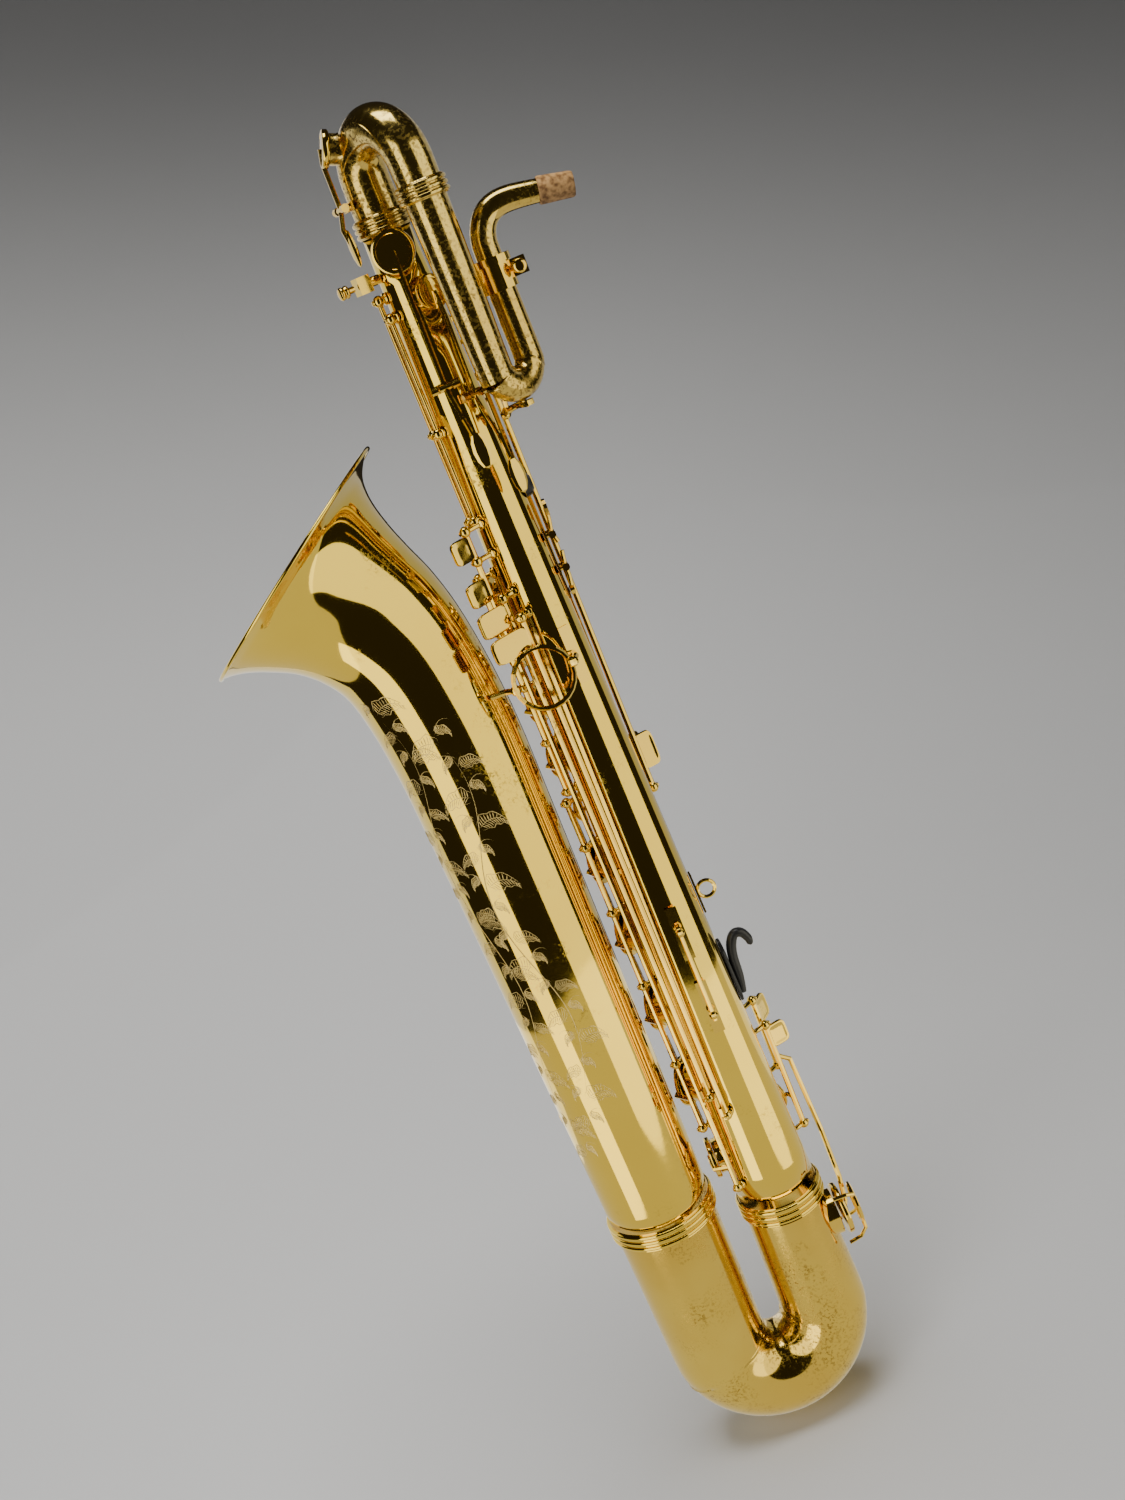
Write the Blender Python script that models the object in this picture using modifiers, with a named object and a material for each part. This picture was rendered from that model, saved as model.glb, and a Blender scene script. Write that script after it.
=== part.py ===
"""Baritone saxophone with a low A, built as separate pieces that move on their real axes.

Metres, +Z up along the body tube, +X towards the player, -Y the player's left.
The helper at() takes millimetres measured from the lowest point of the bow on the body's axis
and moves them so that the world origin is the middle of the strap ring's hole.
"""
import math

import bmesh
import bpy
from mathutils import Matrix, Vector

# ---- driving dimensions, millimetres ----
ORIGIN = Vector((37.0, 0.0, 472.0))
GAP = 0.35
BODY_R_LOW = 33.2
BODY_Z_LOW = 197.0
BODY_Z_TOP = 1022.0
BODY_TAPER = 0.0190
WALL = 1.3
BELL_X = -95.5
BELL_R_LOW = 43.0
BELL_TAPER = 0.0168
CHIMNEY = 5.0
ROD_R = 2.3
STACK_ANGLE = 35.0
RETURN_XY = (31.5, -50.0)
UP_XY = (58.0, -30.0)

BOW_BOTTOM = 40.2
BOW_MID_X = -48.5
BOW_BODY_RISE = 54.0
BOW_BELL_RISE = 47.0

MATERIALS = {
    "brass": (0.83, 0.60, 0.22, 1.0),
    "worn_brass": (0.70, 0.52, 0.22, 1.0),
    "black": (0.02, 0.02, 0.02, 1.0),
    "cork": (0.55, 0.36, 0.18, 1.0),
    "rod_brass": (0.80, 0.58, 0.25, 1.0),
}

for old in list(bpy.data.objects):
    bpy.data.objects.remove(old, do_unlink=True)

parts = bpy.data.collections.new("baritone_saxophone")
bpy.context.scene.collection.children.link(parts)
helpers = bpy.data.collections.new("helpers")
bpy.context.scene.collection.children.link(helpers)
HINGES = {}


def at(x, y, z):
    """World position, in metres, of a point given in millimetres."""
    return (Vector((x, y, z)) - ORIGIN) / 1000.0


def body_r(z):
    """Outside radius of the body tube at height z."""
    return BODY_R_LOW - BODY_TAPER * (z - 200.0)


def bell_r(z):
    """Outside radius of the straight part of the bell at height z."""
    return BELL_R_LOW + BELL_TAPER * (z - 225.0)


def turned(direction):
    """Rotation that carries +Z onto a direction."""
    return Vector(direction).normalized().to_track_quat("Z", "Y").to_matrix().to_4x4()


def rod(bm, a, b, r, segments=8, r_end=None):
    """Round bar from a to b, both in millimetres."""
    start = at(*a)
    end = at(*b)
    axis = end - start
    place = Matrix.Translation((start + end) / 2.0) @ turned(axis)
    tip = r if r_end is None else r_end
    bmesh.ops.create_cone(bm, cap_ends=True, segments=segments, radius1=r / 1000.0,
                          radius2=tip / 1000.0, depth=axis.length, matrix=place)


def ball(bm, c, r, rings=6):
    """Ball of radius r around c."""
    bmesh.ops.create_uvsphere(bm, u_segments=rings + 4, v_segments=rings, radius=r / 1000.0,
                              matrix=Matrix.Translation(at(*c)))


def bar(bm, a, b, width, thick, face):
    """Flat bar from a to b with its broad side facing a direction."""
    start = at(*a)
    end = at(*b)
    along = (end - start).normalized()
    normal = (Vector(face) - along * along.dot(Vector(face))).normalized()
    side = normal.cross(along)
    spin = Matrix((side, normal, along)).transposed().to_4x4()
    size = Matrix.Diagonal((width / 1000.0, thick / 1000.0, (end - start).length, 1.0))
    bmesh.ops.create_cube(bm, size=1.0, matrix=Matrix.Translation((start + end) / 2.0) @ spin @ size)


def sweep(bm, points, r, sides=8, radii=None, caps=True, closed=False):
    """Round section carried along a line of points, as a bevelled curve turned into a mesh."""
    curve = bpy.data.curves.new("line", "CURVE")
    curve.dimensions = "3D"
    curve.bevel_depth = 0.001
    curve.bevel_resolution = max(0, (sides - 4) // 2)
    curve.use_fill_caps = caps and not closed
    spline = curve.splines.new("POLY")
    spline.points.add(len(points) - 1)
    spline.use_cyclic_u = closed
    for i, p in enumerate(points):
        spline.points[i].co = (*at(*p), 1.0)
        spline.points[i].radius = r if radii is None else radii[i]
    line = bpy.data.objects.new("line", curve)
    helpers.objects.link(line)
    bpy.context.view_layer.update()
    shape = bpy.data.meshes.new_from_object(line.evaluated_get(bpy.context.evaluated_depsgraph_get()))
    piece = bmesh.new()
    piece.from_mesh(shape)
    bmesh.ops.remove_doubles(piece, verts=piece.verts, dist=0.00001)
    bmesh.ops.recalc_face_normals(piece, faces=piece.faces)
    piece.to_mesh(shape)
    piece.free()
    bm.from_mesh(shape)
    bpy.data.objects.remove(line, do_unlink=True)
    bpy.data.curves.remove(curve)
    bpy.data.meshes.remove(shape)


def ring(bm, c, axis, major, minor, around=20, sides=8):
    """Round wire ring about an axis."""
    spin = turned(axis)
    points = []
    for i in range(around):
        turn = 2.0 * math.pi * i / around
        out = spin @ Vector((major * math.cos(turn), major * math.sin(turn), 0.0))
        points.append((c[0] + out.x, c[1] + out.y, c[2] + out.z))
    sweep(bm, points, minor, sides, closed=True)


def material(name, slot):
    """Principled material of one piece."""
    mat = bpy.data.materials.new(name)
    mat.use_nodes = True
    shader = mat.node_tree.nodes["Principled BSDF"]
    shader.inputs["Base Color"].default_value = MATERIALS[slot]
    shader.inputs["Metallic"].default_value = 1.0 if "brass" in slot else 0.0
    shader.inputs["Roughness"].default_value = 0.2 if "brass" in slot else 0.6
    return mat


def node(name, bm, slot="brass", pivot=None, smooth=True):
    """Object from a finished mesh, with its origin on the pivot."""
    shape = bpy.data.meshes.new(name)
    base = at(*pivot) if pivot else Vector((0.0, 0.0, 0.0))
    bmesh.ops.translate(bm, verts=bm.verts, vec=-base)
    bmesh.ops.recalc_face_normals(bm, faces=bm.faces)
    bm.to_mesh(shape)
    bm.free()
    ob = bpy.data.objects.new(name, shape)
    ob.location = base
    parts.objects.link(ob)
    shape.materials.append(material(name, slot))
    if smooth:
        shape.shade_smooth()
        shape.set_sharp_from_angle(angle=math.radians(35.0))
    return ob


def boolean(ob, bm, operation, name, own=False):
    """Hidden cutter or added piece, and the Boolean modifier that uses it."""
    shape = bpy.data.meshes.new(name)
    bmesh.ops.translate(bm, verts=bm.verts, vec=-ob.location)
    bmesh.ops.recalc_face_normals(bm, faces=bm.faces)
    bm.to_mesh(shape)
    bm.free()
    tool = bpy.data.objects.new(name, shape)
    tool.location = ob.location
    tool.display_type = "WIRE"
    tool.hide_render = True
    helpers.objects.link(tool)
    mod = ob.modifiers.new(name, "BOOLEAN")
    mod.operation = operation
    mod.solver = "EXACT"
    mod.use_self = own
    mod.object = tool


def fused(name, pieces, slot="brass", pivot=None, smooth=True):
    """One solid from overlapping pieces: the first is the object, the rest are joined on."""
    first = bmesh.new()
    pieces[0](first)
    ob = node(name, first, slot, pivot, smooth)
    rest = bmesh.new()
    for piece in pieces[1:]:
        piece(rest)
    boolean(ob, rest, "UNION", name + "_joined", own=True)
    return ob


def shell(name, points, radii, slot="brass", sides=28, wall=WALL, pivot=None):
    """Thin tube of changing radius along a line, closed to a wall by Solidify."""
    bm = bmesh.new()
    sweep(bm, points, 1.0, sides, radii=radii, caps=False)
    ob = node(name, bm, slot, pivot)
    mod = ob.modifiers.new("wall", "SOLIDIFY")
    mod.thickness = wall / 1000.0
    mod.offset = -1.0
    mod.use_even_offset = True
    return ob


def collar(name, c, tilt, profile, slot="brass", steps=24):
    """Turned ring: a closed (radius, height) profile carried round with Screw."""
    bm = bmesh.new()
    verts = [bm.verts.new((r / 1000.0, 0.0, h / 1000.0)) for r, h in profile]
    for i, vert in enumerate(verts):
        bm.edges.new((vert, verts[(i + 1) % len(verts)]))
    shape = bpy.data.meshes.new(name)
    bm.to_mesh(shape)
    bm.free()
    ob = bpy.data.objects.new(name, shape)
    ob.location = at(*c)
    ob.rotation_euler = turned(tilt).to_euler()
    parts.objects.link(ob)
    shape.materials.append(material(name, slot))
    mod = ob.modifiers.new("turn", "SCREW")
    mod.steps = steps
    mod.render_steps = steps
    mod.use_merge_vertices = True
    mod.merge_threshold = 0.0001
    mod.use_normal_calculate = True
    mod.use_smooth_shade = True
    return ob


def loft(bm, sections, sides=32, y_turn=7.0):
    """Closed solid through circles given as (x, z, radius, lean); lean tips the circle forward."""
    turn = math.radians(-y_turn)
    centre = at(BELL_X, 0.0, 0.0)
    loops = []
    for x, z, r, lean in sections:
        spin = Matrix.Rotation(turn, 4, "Z") @ Matrix.Rotation(math.radians(-lean), 4, "Y")
        offset = Matrix.Rotation(turn, 4, "Z") @ Vector(((x - BELL_X) / 1000.0, 0.0, z / 1000.0))
        place = Matrix.Translation(Vector((centre.x, centre.y, centre.z)) + offset) @ spin
        circle = bmesh.ops.create_circle(bm, cap_ends=False, segments=sides, radius=r / 1000.0,
                                         matrix=place)
        loops.append(list(circle["verts"]))
    for low, high in zip(loops, loops[1:]):
        for i in range(sides):
            j = (i + 1) % sides
            bm.faces.new((low[i], low[j], high[j], high[i]))
    bm.faces.new(loops[0])
    bm.faces.new(loops[-1])


def hollow(name, outer, chimneys, inner, holes, slot="brass", pivot=None):
    """Tube with raised tone holes: outer solid, joined chimneys, then the bore taken out."""
    first = bmesh.new()
    outer(first)
    ob = node(name, first, slot, pivot)
    if chimneys:
        raised = bmesh.new()
        chimneys(raised)
        boolean(ob, raised, "UNION", name + "_chimneys")
    bore = bmesh.new()
    inner(bore)
    boolean(ob, bore, "DIFFERENCE", name + "_bore")
    if holes:
        drilled = bmesh.new()
        holes(drilled)
        boolean(ob, drilled, "DIFFERENCE", name + "_holes")
    return ob


def facing(angle):
    """Direction from the body's axis, turned from the bell side towards the player's right."""
    a = math.radians(angle)
    return Vector((-math.cos(a), math.sin(a), 0.0))


# ---- tone holes: (height, direction, chimney radius, distance of the rim from the tube's axis) ----
def body_hole(z, direction, r):
    """Tone hole on the body tube."""
    return (z, Vector(direction).normalized(), r, body_r(z) + CHIMNEY)


LOWER_HOLES = [body_hole(z, facing(STACK_ANGLE), r)
               for z, r in ((312, 18.0), (385, 17.5), (455, 17.0), (520, 16.0), (567, 9.0))]
UPPER_HOLES = [body_hole(z, facing(STACK_ANGLE), r)
               for z, r in ((612, 14.0), (658, 13.5), (703, 13.0), (747, 12.0))]
SIDE_HOLES = [body_hole(z, (0.0, 1.0, 0.0), r) for z, r in ((835, 10.0), (882, 9.0), (927, 8.0))]
PALM_HOLES = [body_hole(1002, (-0.05, -1.0, 0.0), 12.5), body_hole(968, (0.5, -0.87, 0.0), 9.5)]
LOW_EB_HOLE = body_hole(262, (0.5, 0.87, 0.0), 16.0)
LOW_CS_HOLE = body_hole(250, (-1.0, 0.0, 0.0), 14.5)
BODY_HOLES = LOWER_HOLES + UPPER_HOLES + SIDE_HOLES + PALM_HOLES + [LOW_EB_HOLE, LOW_CS_HOLE]
BELL_FACE = Vector((-0.5, 0.866, 0.0))
BELL_HOLES = [(z, BELL_FACE, 21.0, bell_r(z) + CHIMNEY) for z in (500, 408, 315)]


def body_outer(bm):
    """Solid cone of the body."""
    rod(bm, (0, 0, BODY_Z_LOW), (0, 0, BODY_Z_TOP), body_r(BODY_Z_LOW), 24, body_r(BODY_Z_TOP))


def body_chimneys(bm):
    """Raised tone-hole collars of the body."""
    for z, d, r, far in BODY_HOLES:
        rod(bm, (0, 0, z), (d.x * far, d.y * far, z), r, 12)


def body_bore(bm):
    """Bore of the body."""
    low = BODY_Z_LOW - 6.0
    top = BODY_Z_TOP + 6.0
    rod(bm, (0, 0, low), (0, 0, top), body_r(low) - WALL, 24, body_r(top) - WALL)


def body_holes(bm):
    """Bores of the body's tone holes."""
    for z, d, r, far in BODY_HOLES:
        rod(bm, (d.x * 3.0, d.y * 3.0, z), (d.x * (far + 3.0), d.y * (far + 3.0), z), r - 1.6, 12)


hollow("body_tube", body_outer, body_chimneys, body_bore, body_holes)

BOW_POINTS = [(0.0, 0.0, 195.4), (0.0, 0.0, 145.0)]
for step in range(0, 7):
    a = math.pi / 2.0 * step / 6.0
    BOW_POINTS.append((BOW_MID_X * (1.0 - math.cos(a)), 0.0,
                       BOW_BOTTOM + BOW_BODY_RISE * (1.0 - math.sin(a))))
for step in range(1, 7):
    a = math.pi / 2.0 * step / 6.0
    BOW_POINTS.append((BOW_MID_X - BOW_BELL_RISE * math.sin(a), 0.0,
                       BOW_BOTTOM + BOW_BELL_RISE * (1.0 - math.cos(a))))
BOW_POINTS += [(BELL_X, 0.0, 150.0), (BELL_X, 0.0, 224.0)]
BOW_RADII = [33.4, 34.6] + [36.0 + 5.2 * i / 12.0 for i in range(13)] + [41.9, 42.8]


def bow_outer(bm):
    """Solid bow."""
    sweep(bm, BOW_POINTS, 1.0, 20, radii=BOW_RADII)


def bow_chimney(bm):
    """Raised low C tone hole on the back of the bow."""
    rod(bm, (-6, 0, 160), (38.5, 0, 160), 19.0, 16)


def bow_bore(bm):
    """Bore of the bow."""
    points = [(0.0, 0.0, 201.0)] + BOW_POINTS[1:-1] + [(BELL_X, 0.0, 230.0)]
    sweep(bm, points, 1.0, 20, radii=[r - WALL for r in BOW_RADII])


def bow_hole(bm):
    """Bore of the low C hole."""
    rod(bm, (2, 0, 160), (45.0, 0, 160), 17.4, 16)


hollow("bow", bow_outer, bow_chimney, bow_bore, bow_hole, "worn_brass")

BELL_SECTIONS = [(-95.5, 225.2, 43.0, 0), (-95.5, 400, 46.0, 0), (-96.3, 588, 49.0, 0),
                 (-97.0, 655, 50.5, 5.7), (-100.5, 702, 52.0, 13.9), (-107.0, 739.5, 53.9, 19.0),
                 (-117.0, 764, 57.8, 23.6), (-141.5, 796.5, 70.0, 28.6),
                 (-150.8, 809, 77.8, 31.6), (-155.5, 818, 86.0, 33.8), (-155.5, 824.3, 94.3, 34.7),
                 (-153.9, 827.8, 99.5, 34.8)]


def bell_outer(bm):
    """Solid bell."""
    loft(bm, BELL_SECTIONS, 26)


def bell_chimneys(bm):
    """Raised tone holes of the bell and its rolled rim."""
    for z, d, r, far in BELL_HOLES:
        rod(bm, (BELL_X, 0, z), (BELL_X + d.x * far, d.y * far, z), r, 14)
    bell_rim(bm)


def bell_rim(bm):
    """Rolled wire edge of the bell's mouth."""
    turn = Matrix.Rotation(math.radians(-7.0), 4, "Z")
    lean = Matrix.Rotation(math.radians(-34.8), 4, "Y")
    c = turn @ Vector((-153.9 - BELL_X, 0.0, 0.0))
    points = []
    for i in range(26):
        a = 2.0 * math.pi * i / 26
        p = turn @ lean @ Vector((99.6 * math.cos(a), 99.6 * math.sin(a), 0.0))
        points.append((BELL_X + c.x + p.x, c.y + p.y, 827.6 + p.z))
    sweep(bm, points, 1.5, 6, closed=True)


def bell_bore(bm):
    """Inside of the bell, past both ends."""
    inside = [(-95.5, 219.0, 41.6, 0)]
    inside += [(x, z, r - WALL, lean) for x, z, r, lean in BELL_SECTIONS[1:-1]]
    inside.append((-153.4, 829.4, 98.5, 34.8))
    inside.append((-155.0, 833.0, 99.0, 34.8))
    loft(bm, inside, 26)


def bell_holes(bm):
    """Bores of the bell's tone holes."""
    for z, d, r, far in BELL_HOLES:
        rod(bm, (BELL_X + d.x * 8, d.y * 8, z), (BELL_X + d.x * (far + 3), d.y * (far + 3), z),
            r - 1.6, 14)


hollow("bell", bell_outer, bell_chimneys, bell_bore, bell_holes)


# ---- ferrules ----
def band(name, c, tilt, r_low, r_high, height, slot="brass"):
    """Ferrule with three beads around a joint between two tubes."""
    def out(h):
        return r_low + (r_high - r_low) * (h + height / 2.0) / height
    h = height / 2.0
    profile = [(out(h) + 0.3, h), (out(h) + 1.6, h), (out(h * 0.7) + 2.8, h * 0.7),
               (out(h * 0.4) + 1.6, h * 0.4), (out(0) + 2.8, 0.0), (out(-h * 0.4) + 1.6, -h * 0.4),
               (out(-h * 0.7) + 2.8, -h * 0.7), (out(-h) + 1.6, -h), (out(-h) + 0.3, -h)]
    return collar(name, c, tilt, profile, slot)


band("body_bow_ferrule", (0, 0, 196.2), (0, 0, 1), 34.0, 33.7, 17.0)
band("bell_bow_ferrule", (BELL_X, 0, 224.6), (0, 0, 1), 43.3, 43.5, 17.0)

# ---- upper bow, return tube and pigtail ----
RX, RY = RETURN_XY
UX, UY = UP_XY
SPAN = math.hypot(RX, RY)
EX, EY = RX / SPAN, RY / SPAN
UPPER_POINTS = [(0.0, 0.0, 1022.7), (0.0, 0.0, 1050.0)]
UPPER_RADII = [17.6, 17.2]
for step in range(1, 9):
    a = math.pi * step / 8.0
    reach = SPAN / 2.0 * (1.0 - math.cos(a))
    UPPER_POINTS.append((EX * reach, EY * reach, 1050.0 + SPAN / 2.0 * math.sin(a)))
    UPPER_RADII.append(17.2 - 0.21 * step)
UPPER_POINTS.append((RX, RY, 1030.6))
UPPER_RADII.append(15.2)
F_FROM = Vector(UPPER_POINTS[3])
F_DIR = Vector((-0.919, -0.136, 0.375)).normalized()
F_FAR = 22.0


def upper_outer(bm):
    """Solid upper bow."""
    sweep(bm, UPPER_POINTS, 1.0, 18, radii=UPPER_RADII)


def upper_chimney(bm):
    """Raised high F hole on the upper bow."""
    rod(bm, tuple(F_FROM), tuple(F_FROM + F_DIR * F_FAR), 10.5, 12)


def upper_bore(bm):
    """Bore of the upper bow, past both ends."""
    points = [(0.0, 0.0, 1015.0)] + UPPER_POINTS[1:-1] + [(RX, RY, 1024.0)]
    sweep(bm, points, 1.0, 18, radii=[r - WALL for r in UPPER_RADII])


def upper_hole(bm):
    """Bore of the high F hole."""
    rod(bm, tuple(F_FROM + F_DIR * 4.0), tuple(F_FROM + F_DIR * (F_FAR + 3.0)), 8.9, 12)


hollow("upper_bow", upper_outer, upper_chimney, upper_bore, upper_hole, "worn_brass")
band("upper_ferrule_body", (0, 0, 1022.4), (0, 0, 1), 17.85, 17.95, 13.0, "worn_brass")
band("upper_ferrule_return", (RX, RY, 1030.3), (0, 0, 1), 15.4, 15.5, 13.0, "worn_brass")

HALF = math.hypot(UX - RX, UY - RY) / 2.0
PX, PY = (UX - RX) / HALF / 2.0, (UY - RY) / HALF / 2.0
PIG_POINTS = [(RX, RY, 1030.0), (RX, RY, 975.0), (RX, RY, 906.0)]
PIG_RADII = [15.0, 14.0, 12.7]
for step in range(1, 9):
    a = math.pi * step / 8.0
    reach = HALF * (1.0 - math.cos(a))
    PIG_POINTS.append((RX + PX * reach, RY + PY * reach, 906.0 - HALF * math.sin(a)))
    PIG_RADII.append(12.7 - 0.29 * step)
PIG_POINTS.append((UX, UY, 957.0))
PIG_RADII.append(10.2)
shell("return_pigtail", PIG_POINTS, PIG_RADII, "worn_brass", 16, wall=1.1)


# ---- neck receiver, neck, cork and screws ----
def receiver_ring(bm):
    """Turned sleeve of the receiver."""
    rod(bm, (UX, UY, 951), (UX, UY, 972), 12.6, 24)


def receiver_lip(bm):
    """Rounded lip at the top of the receiver."""
    rod(bm, (UX, UY, 969), (UX, UY, 974), 13.8, 24)


def receiver_lug(bm):
    """Clamp block that the screw pulls together."""
    bar(bm, (UX + 10, UY, 962), (UX + 22, UY, 962), 12, 11, (0, 1, 0))


def receiver_cut(bm):
    """Bore and slot of the receiver."""
    rod(bm, (UX, UY, 945), (UX, UY, 980), 10.7, 24)
    bar(bm, (UX + 5, UY, 962), (UX + 30, UY, 962), 40, 1.6, (0, 1, 0))


receiver = fused("neck_receiver", [receiver_ring, receiver_lip, receiver_lug])
cut = bmesh.new()
receiver_cut(cut)
boolean(receiver, cut, "DIFFERENCE", "neck_receiver_bore", own=True)


def screw(name, c, direction, head_r, slot="rod_brass"):
    """Thumb screw: a stem, a flat leaf head and a rounded end."""
    d = Vector(direction).normalized()
    base = Vector(c)
    tip = base + d * 6.0
    leaf = base + d * 11.0
    side = Vector((0, 0, 1)) if abs(d.z) < 0.5 else Vector((1, 0, 0))

    def stem(bm):
        rod(bm, tuple(base), tuple(tip), 2.2, 10)

    def head(bm):
        bar(bm, tuple(tip - d * 0.6), tuple(leaf), head_r * 1.7, 2.2, d.cross(side))

    def knob(bm):
        rod(bm, tuple(tip - d * 1.5), tuple(tip + d * 0.8), 3.2, 10)
    return fused(name, [stem, head, knob], slot, pivot=tuple(base))


screw("neck_screw", (UX + 16, UY - 5.9, 962), (0, -1, 0), 5.0)

NECK_POINTS = [(UX, UY, 958.0), (UX, UY, 978), (UX + 0.6, UY, 986), (UX + 3.4, UY, 994),
               (UX + 8.6, UY, 1000.5), (UX + 16, UY, 1004.3), (UX + 26, UY, 1005.2),
               (UX + 42, UY, 1003.2), (UX + 56, UY, 1000.6), (UX + 70, UY, 998.0)]
shell("neck_tube", NECK_POINTS, [9.6, 9.4, 9.3, 9.2, 9.1, 9.0, 8.8, 8.2, 7.7, 7.3], "worn_brass",
      14, 1.1, pivot=(UX, UY, 958.0))
CORK_POINTS = [(UX + 47, UY, 1002.3), (UX + 48, UY, 1002.1), (UX + 56, UY, 1000.6),
               (UX + 70, UY, 998.0), (UX + 71.5, UY, 997.7)]
CORK_A = (UX + 40, UY, 1003.6)
CORK_B = (UX + 80, UY, 996.1)
cork = bmesh.new()
sweep(cork, CORK_POINTS, 1.0, 16, radii=[9.0, 9.6, 9.2, 8.8, 8.3])
neck_cork = node("neck_cork", cork, "cork", pivot=(UX, UY, 958.0))
cork_hole = bmesh.new()
sweep(cork_hole, [CORK_A, (UX + 42, UY, 1003.2), (UX + 56, UY, 1000.6), (UX + 70, UY, 998.0),
                  CORK_B], 1.0, 14, radii=[8.6, 8.55, 8.05, 7.65, 7.6])
boolean(neck_cork, cork_hole, "DIFFERENCE", "neck_cork_hole")


# ---- keys ----
CUP = 4.0


def spin_pieces(pieces, line, degrees):
    """The same pieces, turned about an upright hinge line."""
    pivot = at(line[0], line[1], 0.0)
    turn = Matrix.Translation(pivot) @ Matrix.Rotation(math.radians(degrees), 4, "Z")
    turn = turn @ Matrix.Translation(-pivot)

    def turned_piece(piece):
        def build(bm):
            before = set(bm.verts)
            piece(bm)
            added = [v for v in bm.verts if v not in before]
            bmesh.ops.transform(bm, matrix=turn, verts=added)
        return build
    return [turned_piece(piece) for piece in pieces]


def cup_pieces(line, hole, tube_axis=(0.0, 0.0), pearl=False):
    """Padded cup over a tone hole and the arm that carries it from the hinge line."""
    z, d, r, far = hole
    low = far + GAP
    cx, cy = tube_axis[0] + d.x * low, tube_axis[1] + d.y * low
    tx, ty = tube_axis[0] + d.x * (low + CUP), tube_axis[1] + d.y * (low + CUP)
    reach = Vector((line[0] - tx, line[1] - ty, 0.0))
    side = (reach - d * reach.dot(d)).normalized()
    near = Vector((tx, ty, z)) + side * (r + 3.6) + d * 0.6

    def cup(bm):
        rod(bm, (cx, cy, z), (tx, ty, z), r + 2.2, 14, r + 1.2)

    def arm(bm):
        points = [(line[0], line[1], z), tuple(near), (tx + d.x, ty + d.y, z)]
        sweep(bm, points, 1.9, 6)

    def button(bm):
        rod(bm, (tx - d.x * 0.6, ty - d.y * 0.6, z), (tx + d.x * 2.2, ty + d.y * 2.2, z),
            6.0 if pearl else 3.2, 8)
    return [cup, arm, button]


def tube_piece(line, z0, z1, r=ROD_R):
    """Hinge tube."""
    def tube(bm):
        rod(bm, (line[0], line[1], z0), (line[0], line[1], z1), r, 8)
    return tube


def plate_piece(line, z, direction, length, width, thick=2.2):
    """Flat finger plate that stands out from the hinge line."""
    d = Vector(direction).normalized()

    def plate(bm):
        a = (line[0] + d.x * 1.0, line[1] + d.y * 1.0, z)
        b = (line[0] + d.x * length, line[1] + d.y * length, z)
        bar(bm, a, b, width, thick, d.cross(Vector((0, 0, 1))))
    return plate


def hinge(name, line, z, axis=(0, 0, 1)):
    """Remember a moving piece's pivot and axis, in metres."""
    HINGES[name] = (tuple(round(v, 6) for v in at(line[0], line[1], z)), axis)


def stack_key(name, line, z0, z1, holes, open_degrees=7.0, tube_axis=(0.0, 0.0), pearl=False):
    """Stack or bell key: hinge tube, arm and padded cup, standing open at rest."""
    pieces = [tube_piece(line, z0, z1)]
    for hole in holes:
        pieces += cup_pieces(line, hole, tube_axis, pearl)
    middle = (z0 + z1) / 2.0
    hinge(name, line, middle)
    return fused(name, spin_pieces(pieces, line, open_degrees), "brass",
                 pivot=(line[0], line[1], middle))


def rib(name, rows, base_r, centre=(0.0, 0.0), width=3.0, ties=()):
    """Strips on a tube, tied together, with posts that hold the ends of the hinge rods."""
    def spot(line, out, z):
        d = Vector((line[0] - centre[0], line[1] - centre[1], 0.0)).normalized()
        return (centre[0] + d.x * out, centre[1] + d.y * out, z)

    def strip(line, z0, z1):
        def build(bm):
            face = (line[0] - centre[0], line[1] - centre[1], 0.0)
            bar(bm, spot(line, base_r(z0) + 0.9, z0), spot(line, base_r(z1) + 0.9, z1), width, 1.1, face)
        return build

    def post(line, z):
        def build(bm):
            rod(bm, spot(line, base_r(z) + 0.8, z), (line[0], line[1], z), 1.7, 6)
            rod(bm, (line[0], line[1], z - 2.6), (line[0], line[1], z + 2.6), 3.1, 8)
        return build

    def tie(one, two, z):
        def build(bm):
            face = (one[0] + two[0] - centre[0] * 2, one[1] + two[1] - centre[1] * 2, 0.0)
            bar(bm, spot(one, base_r(z) + 1.0, z), spot(two, base_r(z) + 1.0, z), 4.0, 1.0, face)
        return build
    pieces = [strip(line, z0, z1) for line, posts, z0, z1 in rows]
    for line, posts, z0, z1 in rows:
        pieces += [post(line, z) for z in posts]
    pieces += [tie(rows[i][0], rows[i + 1][0], z) for i, z in enumerate(ties)]
    return fused(name, pieces, "rod_brass")


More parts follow.
